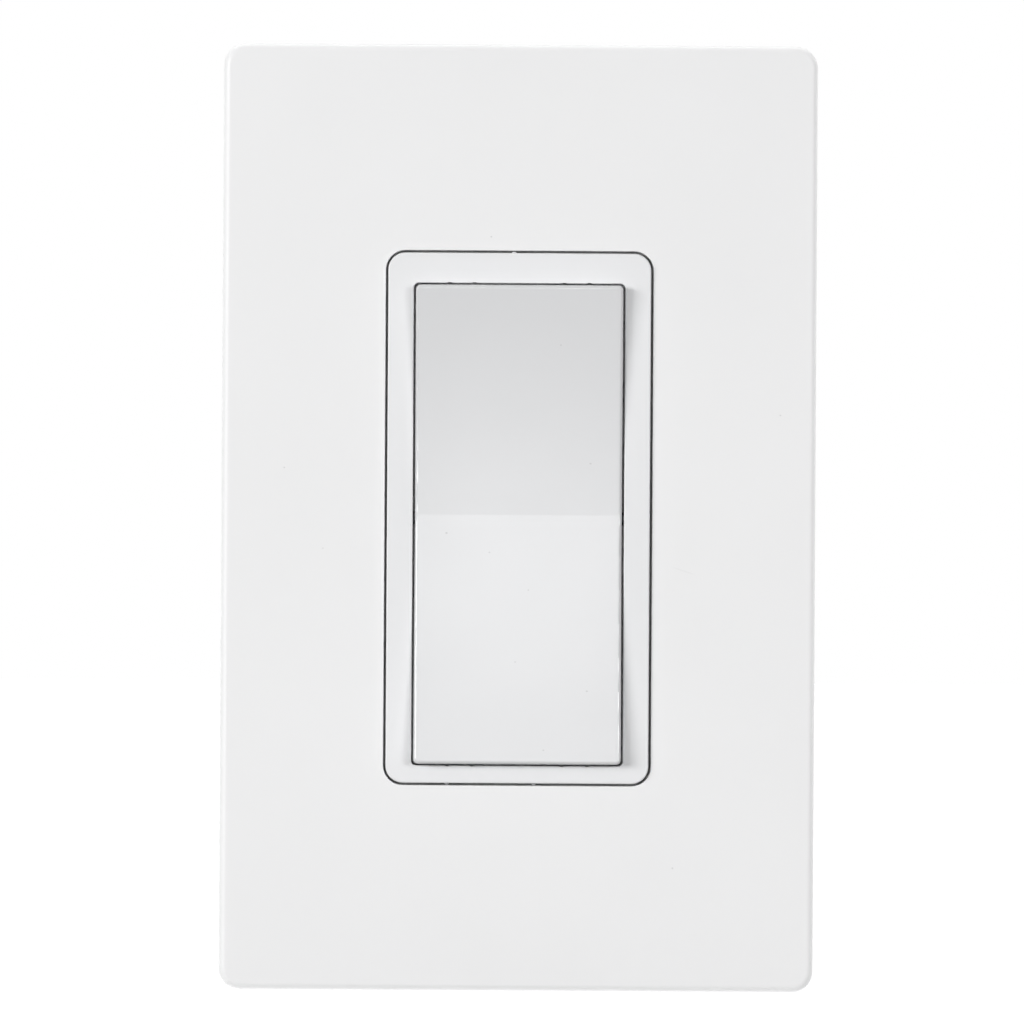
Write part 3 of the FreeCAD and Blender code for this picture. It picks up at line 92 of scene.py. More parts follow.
class Finish:
    """A material under construction: its node tree, its shader and the object coordinates its patterns read."""

    def __init__(self, name):
        self.material = bpy.data.materials.new(name)
        self.tree = clear_tree(self.material)
        output = self.add("ShaderNodeOutputMaterial")
        self.shader = self.add("ShaderNodeBsdfPrincipled")
        self.link(self.shader.outputs["BSDF"], output.inputs["Surface"])
        self.place = self.add("ShaderNodeTexCoord").outputs["Object"]

    def add(self, kind, **settings):
        node = self.tree.nodes.new(kind)
        for name, value in settings.items():
            setattr(node, name, value)
        return node

    def link(self, output, socket):
        self.tree.links.new(output, socket)

    def feed(self, socket, value):
        """Puts a number, a colour or another node's output on a socket."""
        if isinstance(value, bpy.types.NodeSocket):
            self.link(value, socket)
        else:
            socket.default_value = value

    def math(self, operation, first, second):
        node = self.add("ShaderNodeMath", operation=operation)
        self.feed(node.inputs[0], first)
        self.feed(node.inputs[1], second)
        return node.outputs[0]

    def noise(self, scale, detail=2.0, stretch=(1, 1, 1)):
        """Noise with features about 1/scale metres wide."""
        mapping = self.add("ShaderNodeMapping")
        self.link(self.place, mapping.inputs["Vector"])
        mapping.inputs["Scale"].default_value = stretch
        noise = self.add("ShaderNodeTexNoise")
        self.link(mapping.outputs[0], noise.inputs["Vector"])
        noise.inputs["Scale"].default_value = scale
        noise.inputs["Detail"].default_value = detail
        return noise.outputs["Fac"]

    def cells(self, scale):
        cells = self.add("ShaderNodeTexVoronoi")
        self.link(self.place, cells.inputs["Vector"])
        cells.inputs["Scale"].default_value = scale
        return cells.outputs["Distance"]

    def remap(self, value, low, high, to_low=0.0, to_high=1.0):
        node = self.add("ShaderNodeMapRange")
        for socket, item in zip(node.inputs, (value, low, high, to_low, to_high)):
            self.feed(socket, item)
        return node.outputs[0]

    def blend(self, share, first, second):
        node = self.add("ShaderNodeMix", data_type="RGBA")
        self.feed(node.inputs["Factor"], share)
        self.feed(node.inputs["A"], rgba(first))
        self.feed(node.inputs["B"], rgba(second))
        return node.outputs["Result"]

    def spot(self, across, up, width, height, turn):
        """1 inside an oval mark on the front, given in millimetres, and 0 outside its soft edge."""
        mapping = self.add("ShaderNodeMapping", vector_type="TEXTURE")
        self.link(self.place, mapping.inputs["Vector"])
        mapping.inputs["Location"].default_value = (across * MM, 0, up * MM)
        mapping.inputs["Rotation"].default_value = (0, math.radians(turn), 0)
        mapping.inputs["Scale"].default_value = (width * MM / 2, 1, height * MM / 2)
        length = self.add("ShaderNodeVectorMath", operation="LENGTH")
        self.link(mapping.outputs[0], length.inputs[0])
        return self.remap(length.outputs["Value"], 1.15, 0.75)

    def marks(self, spots):
        """The strongest of several marks, each (across, up, width, height, turn, strength)."""
        total = 0.0
        for *shape, strength in spots:
            total = self.math("MAXIMUM", self.math("MULTIPLY", self.spot(*shape), strength), total)
        return total

    def outside(self, half_across, half_up, start):
        """1 outside an upright box, in millimetres, where it is deeper than start, in metres; 0 elsewhere."""
        fade = 0.3 * MM
        axes = self.add("ShaderNodeSeparateXYZ")
        self.link(self.place, axes.inputs[0])
        beside = self.math("GREATER_THAN", self.math("ABSOLUTE", axes.outputs["X"], 0.0), half_across * MM)
        beyond = self.math("GREATER_THAN", self.math("ABSOLUTE", axes.outputs["Z"], 0.0), half_up * MM)
        deep = self.remap(axes.outputs["Y"], start, start + fade)
        return self.math("MULTIPLY", self.math("MAXIMUM", beside, beyond), deep)

    def bump(self, *layers):
        """Small relief: each layer is (height pattern, depth in metres)."""
        normal = None
        for height, depth in layers:
            node = self.add("ShaderNodeBump")
            node.inputs["Strength"].default_value = 1.0
            node.inputs["Distance"].default_value = depth
            self.feed(node.inputs["Height"], height)
            if normal:
                self.link(normal, node.inputs["Normal"])
            normal = node.outputs[0]
        self.link(normal, self.shader.inputs["Normal"])

    def surface(self, **settings):
        for name, value in settings.items():
            self.feed(self.shader.inputs[name.replace("_", " ")], value)
        return self.material


def rgba(colour):
    if isinstance(colour, bpy.types.NodeSocket):
        return colour
    return (*colour[:3], 1.0)


def shade(colour, factor):
    return tuple(part * factor for part in colour[:3])


def moulded_plastic(name, colour, roughness, grain=0.0000015, marks=(), gloss=0.5, painted_gap_shade=None):
    """Injection-moulded plastic: flow clouds and a fine grain, with handling marks if given, and painted shade
    that darkens a given part deep in a gap if given.
    """
    finish = Finish(name)
    # one darker colour, for the handling specks and for the painted shade in the gap
    speck_and_shade_dark = shade(colour, 0.45)
    clouds = finish.remap(finish.noise(45.0), 0.3, 0.7)
    body = finish.blend(clouds, shade(colour, 0.992), shade(colour, 1.006))
    if marks:
        body = finish.blend(finish.marks(marks), body, speck_and_shade_dark)
    # painted shade: walls deeper than the plate's face are darkened to stand in for the shadow inside the gap
    if painted_gap_shade:
        body = finish.blend(finish.outside(*painted_gap_shade), body, speck_and_shade_dark)
    wear = finish.remap(finish.noise(60.0, 4.0), 0.35, 0.65, roughness - 0.01, roughness + 0.015)
    finish.bump((finish.noise(2600.0, 3.0), grain), (finish.noise(180.0, 1.0), 3 * grain))
    return finish.surface(Base_Color=body, Roughness=wear, Specular_IOR_Level=gloss)


def metal(name, colour, roughness, stretch=(1, 1, 1), scale=900.0, depth=0.000002):
    """Rolled, drawn or plated metal, with its grain stretched along one direction."""
    finish = Finish(name)
    grain = finish.noise(scale, 3.0, stretch)
    patches = finish.remap(finish.noise(140.0), 0.35, 0.65)
    body = finish.blend(patches, shade(colour, 0.93), shade(colour, 1.04))
    rough = finish.remap(grain, 0.3, 0.7, roughness - 0.06, roughness + 0.08)
    finish.bump((grain, depth))
    return finish.surface(Base_Color=body, Metallic=1.0, Roughness=rough)


# Modelling helpers: a primitive is shaped in edit mode and ends with its place in its mesh

def deselect():
    bpy.ops.object.select_all(action="DESELECT")


def only(piece):
    """Selects one piece and makes it the active one."""
    deselect()
    piece.select_set(True)
    bpy.context.view_layer.objects.active = piece


def named(name):
    """Names the primitive that was just added and puts its place, turn and size in its mesh."""
    piece = bpy.context.object
    piece.name = piece.data.name = name
    only(piece)
    bpy.ops.object.transform_apply(location=True, rotation=True, scale=True)
    return piece


def leave():
    """Leaves edit mode."""
    bpy.ops.object.mode_set(mode="OBJECT")


def pick(piece, kind, wanted):
    """Opens edit mode on a piece with only the faces, edges or vertices selected that pass the test."""
    only(piece)
    bpy.ops.object.mode_set(mode="EDIT")
    bpy.ops.mesh.select_mode(type=kind)
    bpy.ops.mesh.select_all(action="DESELECT")
    leave()
    mesh = piece.data
    if kind == "EDGE":
        for edge in mesh.edges:
            edge.select = wanted(*(mesh.vertices[index].co / MM for index in edge.vertices))
    elif kind == "FACE":
        for face in mesh.polygons:
            face.select = wanted(face.center / MM, face.normal)
    else:
        for vertex in mesh.vertices:
            vertex.select = wanted(vertex.co / MM)
    bpy.ops.object.mode_set(mode="EDIT")


def runs_back(one, other):
    """Tells an edge that runs towards the wall, by its two ends in millimetres."""
    return abs(one.y - other.y) > 0.05


def bevel_edges(piece, wanted, width, segments):
    """Rounds the edges that pass the test, given their two ends in millimetres."""
    pick(piece, "EDGE", wanted)
    bpy.ops.mesh.bevel(offset=width * MM, offset_type="OFFSET", segments=segments, affect="EDGES")
    leave()


def add_block(name, low, high):
    """A block between two corners in millimetres."""
    middle = [(one + other) / 2 * MM for one, other in zip(low, high)]
    size = [abs(other - one) * MM for one, other in zip(low, high)]
    deselect()
    bpy.ops.mesh.primitive_cube_add(size=1.0, location=middle, scale=size)
    return named(name)


def add_rod(name, place, radius, length, sides=32):
    """A round bar centred at a place, in millimetres, that points away from the wall."""
    deselect()
    bpy.ops.mesh.primitive_cylinder_add(
        vertices=sides, radius=radius * MM, depth=length * MM,
        location=[part * MM for part in place], rotation=OUTWARD)
    return named(name)


def copy_of(piece, shift):
    """A copy with its own mesh, moved by a step in millimetres."""
    only(piece)
    bpy.ops.object.duplicate(linked=False)
    twin = bpy.context.object
    bpy.ops.transform.translate(value=[part * MM for part in shift])
    bpy.ops.object.transform_apply(location=True, rotation=False, scale=False)
    return twin


def join(pieces, name):
    """Makes one object of several."""
    deselect()
    for piece in pieces:
        piece.select_set(True)
    bpy.context.view_layer.objects.active = pieces[0]
    bpy.ops.object.join()
    whole = bpy.context.object
    whole.name = whole.data.name = name
    return whole


def settle(piece, body, material, smooth=30):
    """Smooths a finished piece, gives it its finish and makes it ride on its body."""
    only(piece)
    bpy.ops.object.shade_smooth_by_angle(angle=math.radians(smooth))
    piece.data.materials.clear()
    piece.data.materials.append(material)
    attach(piece, body)
    return piece


# Sizes and colours that a user would change

class PlasticSettings(bpy.types.PropertyGroup):
    plate: FloatVectorProperty(
        name="Plate", description="Colour of the wall plate", subtype="COLOR",
        size=3, min=0, max=1, default=(0.864, 0.864, 0.867))
    frame: FloatVectorProperty(
        name="Frame", description="Colour of the frame around the rocker", subtype="COLOR",
        size=3, min=0, max=1, default=(0.823, 0.827, 0.836))
    rocker: FloatVectorProperty(
        name="Rocker", description="Colour of the rocker", subtype="COLOR",
        size=3, min=0, max=1, default=(0.675, 0.679, 0.689))
    back: FloatVectorProperty(
        name="Back", description="Colour of the bracket and the rear case", subtype="COLOR",
        size=3, min=0, max=1, default=(0.72, 0.72, 0.71))
    roughness: FloatProperty(
        name="Roughness", description="Roughness of the plate's and frame's face", subtype="FACTOR",
        min=0, max=1, default=0.42)
    rocker_roughness: FloatProperty(
        name="Rocker roughness", description="Roughness of the rocker's face", subtype="FACTOR",
        min=0, max=1, default=0.12)


class DetailSettings(bpy.types.PropertyGroup):
    liner_thickness: FloatProperty(
        name="Liner thickness", description="Release liner on the adhesive pads", unit="LENGTH",
        min=0.00005, default=0.00012)
    liner_slit: FloatProperty(
        name="Liner slit", description="Slit across each liner, to peel it from", unit="LENGTH", default=0.0003)
    thread_pitch: FloatProperty(
        name="Thread pitch", description="Pitch of the screws' threads", unit="LENGTH",
        min=0.0004, default=0.0008)
    spring_wire: FloatProperty(
        name="Spring wire", description="Wire of the return springs", unit="LENGTH", default=0.0004)
    spring_turns: FloatProperty(
        name="Spring turns", description="Turns of each return spring, with its closed ends", min=3, default=5.5)
    nib_radius: FloatProperty(
        name="Nib radius", description="Nibs that centre the frame in the plate's opening", unit="LENGTH",
        default=0.00034)


class StageSettings(bpy.types.PropertyGroup):
    distance: FloatProperty(
        name="Distance", description="Camera to the plate's face", unit="LENGTH", default=0.90)
    half_view: FloatProperty(
        name="Half view", description="Half the width seen at the plate's face", unit="LENGTH", default=0.06424)
    aim_across: FloatProperty(
        name="Aim across", description="Where the camera looks, from the centre line", unit="LENGTH",
        default=-0.00080)
    aim_up: FloatProperty(
        name="Aim up", description="Where the camera looks, from the middle", unit="LENGTH", default=0.00078)
    roll: FloatProperty(
        name="Roll", description="Turn of the camera about its own axis", unit="ROTATION",
        default=math.radians(-0.35))
    ambient: FloatProperty(
        name="Ambient", description="Strength of the even light from all round", min=0, default=0.02)
    light_distance: FloatProperty(
        name="Light distance", description="Light cards to the switch", unit="LENGTH", min=0.3, default=1.4)
    left: FloatProperty(
        name="Left", description="Brightness of the soft light in front, at the left", min=0, default=13.0)
    right: FloatProperty(
        name="Right", description="Brightness of the soft light in front, at the right", min=0, default=12.3)
    front: FloatProperty(
        name="Front", description="Brightness of the narrow light around the camera", min=0, default=4.8)
    above: FloatProperty(
        name="Above", description="Brightness of the weak light from above", min=0, default=0.35)
    rim: FloatProperty(
        name="Rim", description="Brightness of the light on the plate's rounded edges", min=0, default=2.4)
    behind: FloatProperty(
        name="Behind", description="Brightness of the two soft lights behind", min=0, default=0.2)


# Operators

class WALLSWITCH_OT_white_parts(bpy.types.Operator):
    """Finish the plate, the frame and the rocker in white moulded plastic"""
    bl_idname = "wallswitch.white_parts"
    bl_label = "White Parts"

    def execute(self, context):
        plastic = context.scene.wallswitch_plastic
        rough = plastic.roughness
        gap_shade_box = (15.2, 31.8, plate_face + 0.1 * MM)  # painted shade in the gap: the frame's rim, from just behind the plate's face, is darkened
        plate_marks = [
            (-3.6, 35.3, 0.25, 0.2, 0, 0.35), (-29.4, 6.2, 0.25, 0.2, 0, 0.3), (-24.5, -3.9, 0.2, 0.2, 0, 0.25),
            (32.8, 13.1, 0.25, 0.2, 20, 0.3), (20.8, -6.5, 3.0, 0.18, 18, 0.07), (19.6, -43.8, 0.25, 0.25, 0, 0.3)]
        rocker_marks = [
            (-9.0, -1.9, 0.3, 0.25, 0, 0.35), (-3.6, -4.3, 0.25, 0.2, 0, 0.3), (1.3, -9.0, 0.2, 0.2, 0, 0.3),
            (-0.3, -18.0, 0.25, 0.2, 0, 0.25), (8.7, -21.6, 0.3, 0.2, 0, 0.35), (3.3, -29.0, 0.25, 0.2, 0, 0.3),
            (9.0, 6.9, 0.3, 0.2, 0, 0.3), (5.2, 21.7, 0.2, 0.2, 0, 0.3)]
        finish_node("wall_plate", moulded_plastic("plate_white", plastic.plate, rough, marks=plate_marks))
        finish_node("bezel_frame", moulded_plastic("frame_white", plastic.frame, rough, painted_gap_shade=gap_shade_box))
        finish_node("rocker_paddle", moulded_plastic(
            "rocker_white", plastic.rocker, plastic.rocker_roughness,
            grain=0.0000008, marks=rocker_marks, gloss=0.64))
        return {"FINISHED"}


class WALLSWITCH_OT_back_parts(bpy.types.Operator):
    """Finish the bracket, the rear case and the pairing button"""
    bl_idname = "wallswitch.back_parts"
    bl_label = "Back Parts"

    def execute(self, context):
        plastic = context.scene.wallswitch_plastic
        finish_node("wall_bracket", moulded_plastic("bracket_white", plastic.back, 0.55, 0.000004))
        finish_node("rear_case", moulded_plastic("case_white", plastic.back, 0.5, 0.000003))
        finish_node("pairing_button", moulded_plastic("button_grey", (0.45, 0.46, 0.47), 0.45))
        return {"FINISHED"}


class WALLSWITCH_OT_metal_parts(bpy.types.Operator):
    """Finish the pivot rod, the contacts, the shield can and the cell"""
    bl_idname = "wallswitch.metal_parts"
    bl_label = "Metal Parts"

    def execute(self, context):
        strip = metal("nickel_strip", (0.70, 0.69, 0.66), 0.25, (0.08, 1, 1), 1800.0)
        tin = metal("tinned_steel", (0.68, 0.68, 0.66), 0.35, (0.3, 1, 1), 900.0)
        finish_node("pivot_rod", metal("black_steel", (0.035, 0.035, 0.04), 0.4, (1, 0.05, 0.05), 2200.0))
        finish_node("battery_contact_positive", strip)
        finish_node("battery_contact_negative", strip)
        finish_node("shield_can", tin)
        finish_node("crystal", tin)
        finish_node("antenna", metal("contact_brass", (0.75, 0.60, 0.32), 0.25, (0.1, 1, 1), 1600.0))
        finish_node("coin_cell", metal("cell_steel", (0.72, 0.72, 0.72), 0.22, (1, 1, 0.06), 1400.0))
        return {"FINISHED"}


class WALLSWITCH_OT_board_parts(bpy.types.Operator):
    """Finish the circuit board and the parts on it"""
    bl_idname = "wallswitch.board_parts"
    bl_label = "Board Parts"

    def execute(self, context):
        board = Finish("board_green")
        tracks = board.add("ShaderNodeTexBrick", offset=0.35, squash=1.0)
        mapping = board.add("ShaderNodeMapping")
        board.link(board.place, mapping.inputs["Vector"])
        mapping.inputs["Rotation"].default_value = (math.radians(90), 0, 0)
        board.link(mapping.outputs[0], tracks.inputs["Vector"])
        tracks.inputs["Scale"].default_value = 1000.0
        tracks.inputs["Brick Width"].default_value = 3.4
        tracks.inputs["Row Height"].default_value = 1.7
        tracks.inputs["Mortar Size"].default_value = 0.14
        lines = tracks.outputs["Fac"]
        colour = board.blend(lines, (0.025, 0.17, 0.075), (0.05, 0.27, 0.12))
        board.bump((lines, 0.00003), (board.noise(900.0), 0.000004))
        finish_node("circuit_board", board.surface(Base_Color=colour, Roughness=0.32))
        black = moulded_plastic("black_plastic", (0.03, 0.03, 0.03), 0.5, 0.000003)
        stems = moulded_plastic("stem_plastic", (0.55, 0.53, 0.48), 0.45)
        for name in ("tact_switch_upper", "tact_switch_lower", "microcontroller", "battery_holder",
                     "pairing_switch"):
            finish_node(name, black)
        for name in ("tact_stem_upper", "tact_stem_lower", "pairing_stem"):
            finish_node(name, stems)
        chips = Finish("chip_ceramic")
        grain = chips.noise(2500.0)
        body = chips.blend(chips.remap(grain, 0.3, 0.7), (0.30, 0.23, 0.16), (0.42, 0.34, 0.25))
        chips.bump((grain, 0.000004))
        finish_node("chip_parts", chips.surface(Base_Color=body, Roughness=0.5))
        return {"FINISHED"}


class WALLSWITCH_OT_foam_pads(bpy.types.Operator):
    """Add the two foam tape pads on the bracket's back, each with its two-piece release liner"""
    bl_idname = "wallswitch.foam_pads"
    bl_label = "Foam Pads"

    def execute(self, context):
        details = context.scene.wallswitch_details
        liner_thick, half_slit = details.liner_thickness / MM, details.liner_slit / MM / 2
        pads_low, pads_high = (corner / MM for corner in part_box("adhesive_pads"))
        half_across, reach, front = pads_high.x, pads_high.z, pads_low.y
        half_height, corner_round, slant, overlap = 11.0, 1.0, 2.5, 0.12
        foams, liners = [], []
        for side in (1, -1):
            up = side * (reach - half_height)
            foam = add_block("foam", (-half_across, front, up - half_height),
                             (half_across, -liner_thick, up + half_height))
            bevel_edges(foam, runs_back, corner_round, 6)
            self.pinch_sides(foam, half_across, up, half_height)
            foams.append(foam)
            for end in (1, -1):
                liner = add_block("liner", (end * half_slit, -liner_thick, up - half_height - overlap),
                                  (end * (half_across + overlap), 0, up + half_height + overlap))
                for corner in (1, -1):
                    pick(liner, "VERT", lambda place: abs(place.x) < slant / 2 and corner * (place.z - up) > 0)
                    bpy.ops.transform.translate(value=(corner * slant * MM, 0, 0))
                    leave()
                bevel_edges(liner, lambda one, other: runs_back(one, other) and abs(one.x) > half_across / 2,
                            corner_round + 0.1, 6)
                liners.append(liner)
        foam_finish = Finish("pad_foam")
        pores = foam_finish.cells(1500.0)
        colour = foam_finish.blend(foam_finish.remap(pores, 0.0, 0.8), (0.60, 0.60, 0.58), (0.78, 0.78, 0.76))
        foam_finish.bump((pores, 0.00004), (foam_finish.noise(400.0), 0.00003))
        foam = settle(join(foams, "foam_pads"), "base",
                      foam_finish.surface(Base_Color=colour, Roughness=0.75))
        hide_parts("adhesive_pads")
        paper = Finish("liner_paper")
        fibres = paper.noise(2400.0, 3.0)
        tint = paper.blend(paper.remap(paper.noise(90.0), 0.35, 0.65), (0.80, 0.76, 0.62), (0.83, 0.79, 0.66))
        paper.bump((fibres, 0.0000015), (paper.noise(60.0), 0.00002))
        settle(join(liners, "pad_liners"), "base",
               paper.surface(Base_Color=tint, Roughness=0.38))
        return {"FINISHED"}

    def pinch_sides(self, foam, half_across, up, half_height):
        """Pulls the middle of a pad's cut sides in a little, as pressed foam tape has them."""
        pinch = 0.12
        depths = [vertex.co.y / MM for vertex in foam.data.vertices]
        middle = (min(depths) + max(depths)) / 2
        pick(foam, "FACE", lambda centre, normal: True)
        bpy.ops.mesh.bisect(plane_co=(0, middle * MM, 0), plane_no=(0, 1, 0))
        leave()
        pick(foam, "VERT", lambda place: abs(place.y - middle) < 0.1)
        bpy.ops.transform.resize(value=(1 - pinch / half_across, 1, 1 - pinch / half_height),
                                 center_override=(0, middle * MM, up * MM))
        leave()


class WALLSWITCH_OT_centring_nibs(bpy.types.Operator):
    """Add the small ribs on the frame's ends that centre it in the plate's opening"""
    bl_idname = "wallswitch.centring_nibs"
    bl_label = "Centring Nibs"

    def execute(self, context):
        plastic, radius = context.scene.wallswitch_plastic, context.scene.wallswitch_details.nib_radius / MM
        frame_end, sunk = 33.25, 0.06
        foot, tip = frame_face / MM + 4.6, plate_face / MM + 0.7
        nibs = []
        for across, side in ((-0.7, 1), (2.1, -1), (-8.8, -1)):
            place = (across, (foot + tip) / 2, side * (frame_end - sunk))
            nib = add_rod("nib", place, radius, foot - tip, 24)
            bevel_edges(nib, lambda one, other: max(one.y, other.y) < tip + 0.01, radius * 0.6, 4)
            nibs.append(nib)
        settle(join(nibs, "centring_nibs"), "base",
               moulded_plastic("nib_white", plastic.frame, plastic.roughness))
        return {"FINISHED"}


class WALLSWITCH_OT_return_springs(bpy.types.Operator):
    """Add the two coil springs under the rocker, with closed ends, in their rest shape"""
    bl_idname = "wallswitch.return_springs"
    bl_label = "Return Springs"
    closed_turns = 1.0  # at each end of a spring
    closed_pitch = 1.05  # of a closed turn, in wire thicknesses

    def execute(self, context):
        details = context.scene.wallswitch_details
        wire = metal("spring_wire", (0.55, 0.55, 0.56), 0.25, scale=2500.0, depth=0.0000006)
        for place in ("upper", "lower"):
            low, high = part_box(f"return_spring_{place}")
            spring = self.wind(low, high, details.spring_wire, details.spring_turns)
            spring.name = spring.data.name = f"coil_spring_{place}"
            bpy.ops.object.shade_smooth_by_angle(angle=math.radians(50))
            spring.data.materials.append(wire)
            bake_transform(spring)
            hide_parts(f"return_spring_{place}")
        return {"FINISHED"}

    def wind(self, low, high, wire, turns):
        """A round wire along a coil whose first and last turns lie close together."""
        middle, steps, closed, close_pitch = (low + high) / 2, 24, self.closed_turns, self.closed_pitch * wire
        radius, rise = (high.x - low.x - wire) / 2, high.y - low.y - wire
        pitch = (rise - 2 * closed * close_pitch) / (turns - 2 * closed)
        deselect()
        bpy.ops.curve.primitive_nurbs_path_add(location=(0, 0, 0))
        spring = bpy.context.object
        line = spring.data
        line.splines.clear()
        path = line.splines.new("POLY")
        path.points.add(round(turns * steps))
        for index, point in enumerate(path.points):
            turn = index / steps
            first, last = min(turn, closed), max(0.0, turn - turns + closed)
            along = (first + last) * close_pitch + (turn - first - last) * pitch
            angle = math.tau * turn
            point.co = (middle.x + radius * math.cos(angle), high.y - wire / 2 - along,
                        middle.z + radius * math.sin(angle), 1.0)
        line.bevel_depth, line.bevel_resolution, line.use_fill_caps = wire / 2, 3, True
        line.twist_mode = "MINIMUM"
        only(spring)
        bpy.ops.object.convert(target="MESH")
        bpy.ops.object.mode_set(mode="EDIT")
        bpy.ops.mesh.select_all(action="SELECT")
        bpy.ops.mesh.remove_doubles(threshold=0.001 * MM)
        bpy.ops.mesh.normals_make_consistent(inside=False)
        leave()
        return bpy.context.object


class WALLSWITCH_OT_solder(bpy.types.Operator):
    """Add the solder on the board and the tinned ends of the chip parts"""
    bl_idname = "wallswitch.solder"
    bl_label = "Solder"

    def execute(self, context):
        board_low, board_high = (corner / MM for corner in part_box("circuit_board"))
        leg_across, foot, foot_end, spread = 3.55, 2.4, 2.8, 0.2
        fillets = [self.add_joint(side * leg_across, board_low.y, row)
                   for side in (1, -1) for row in self.leg_rows()]
        low, high = (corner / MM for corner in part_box("battery_contact_positive"))
        beds = [(low.x - spread, low.x + foot, low.z - spread, high.z + spread)]
        low, high = (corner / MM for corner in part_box("battery_contact_negative"))
        for start, end in ((low.x - spread, low.x + foot_end), (high.x - foot_end, high.x + spread)):
            beds.append((start, end, low.z - spread, high.z + spread))
        fillets += [self.add_bed(board_high.y, *bed) for bed in beds]
        tin = metal("solder_tin", (0.72, 0.72, 0.73), 0.22, scale=1200.0, depth=0.000004)
        settle(join(fillets, "solder_joints"), "base", tin, 60)
        settle(join(self.add_caps(), "chip_caps"), "base", tin)
        return {"FINISHED"}

    def leg_rows(self):
        """Heights of the switches' legs, in millimetres."""
        half_row, rows = 2.25, []
        for name in ("tact_switch_upper", "tact_switch_lower"):
            low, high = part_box(name)
            middle = (low.z + high.z) / 2 / MM
            rows += [middle + half_row, middle - half_row]
        return rows

    def add_joint(self, across, board_face, up):
        """A low round mound of solder over the end of a leg, sunk a little in the board."""
        radius, height, sunk, edge_round = 0.58, 0.34, 0.05, 0.22
        mound = add_rod("mound", (across, board_face + sunk - height / 2, up), radius, height, 24)
        bevel_edges(mound, lambda one, other: max(one.y, other.y) < board_face - height / 2, edge_round, 5)
        return mound

    def add_bed(self, board_back, left, right, low, high):
        """The thin bed of solder that a contact's foot is sunk in."""
        sunk, height = 0.1, 0.14
        bed = add_block("bed", (left, board_back - sunk, low), (right, board_back + height, high))
        bevel_edges(bed, runs_back, 0.5, 4)
        bevel_edges(bed, lambda one, other: min(one.y, other.y) > board_back + height - 0.01, 0.1, 3)
        return bed

    def add_caps(self):
        """A cap of tin on both ends of each chip part; the parts stand in four columns and two rows."""
        low, high = (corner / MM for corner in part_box("chip_parts"))
        half_part, margin, length, edge_round = 0.4, 0.02, 0.33, 0.05
        outer, caps = high.x - half_part, []
        for across in (-outer, -outer / 3, outer / 3, outer):
            for up in (low.z + 2 * half_part, high.z - 2 * half_part):
                for end in (1, -1):
                    tip = up + end * (2 * half_part + margin)
                    cap = add_block(
                        "cap", (across - half_part - margin, low.y, tip - end * length),
                        (across + half_part + margin, high.y + margin, tip))
                    bevel_edges(cap, lambda one, other: True, edge_round, 2)
                    caps.append(cap)
        return caps


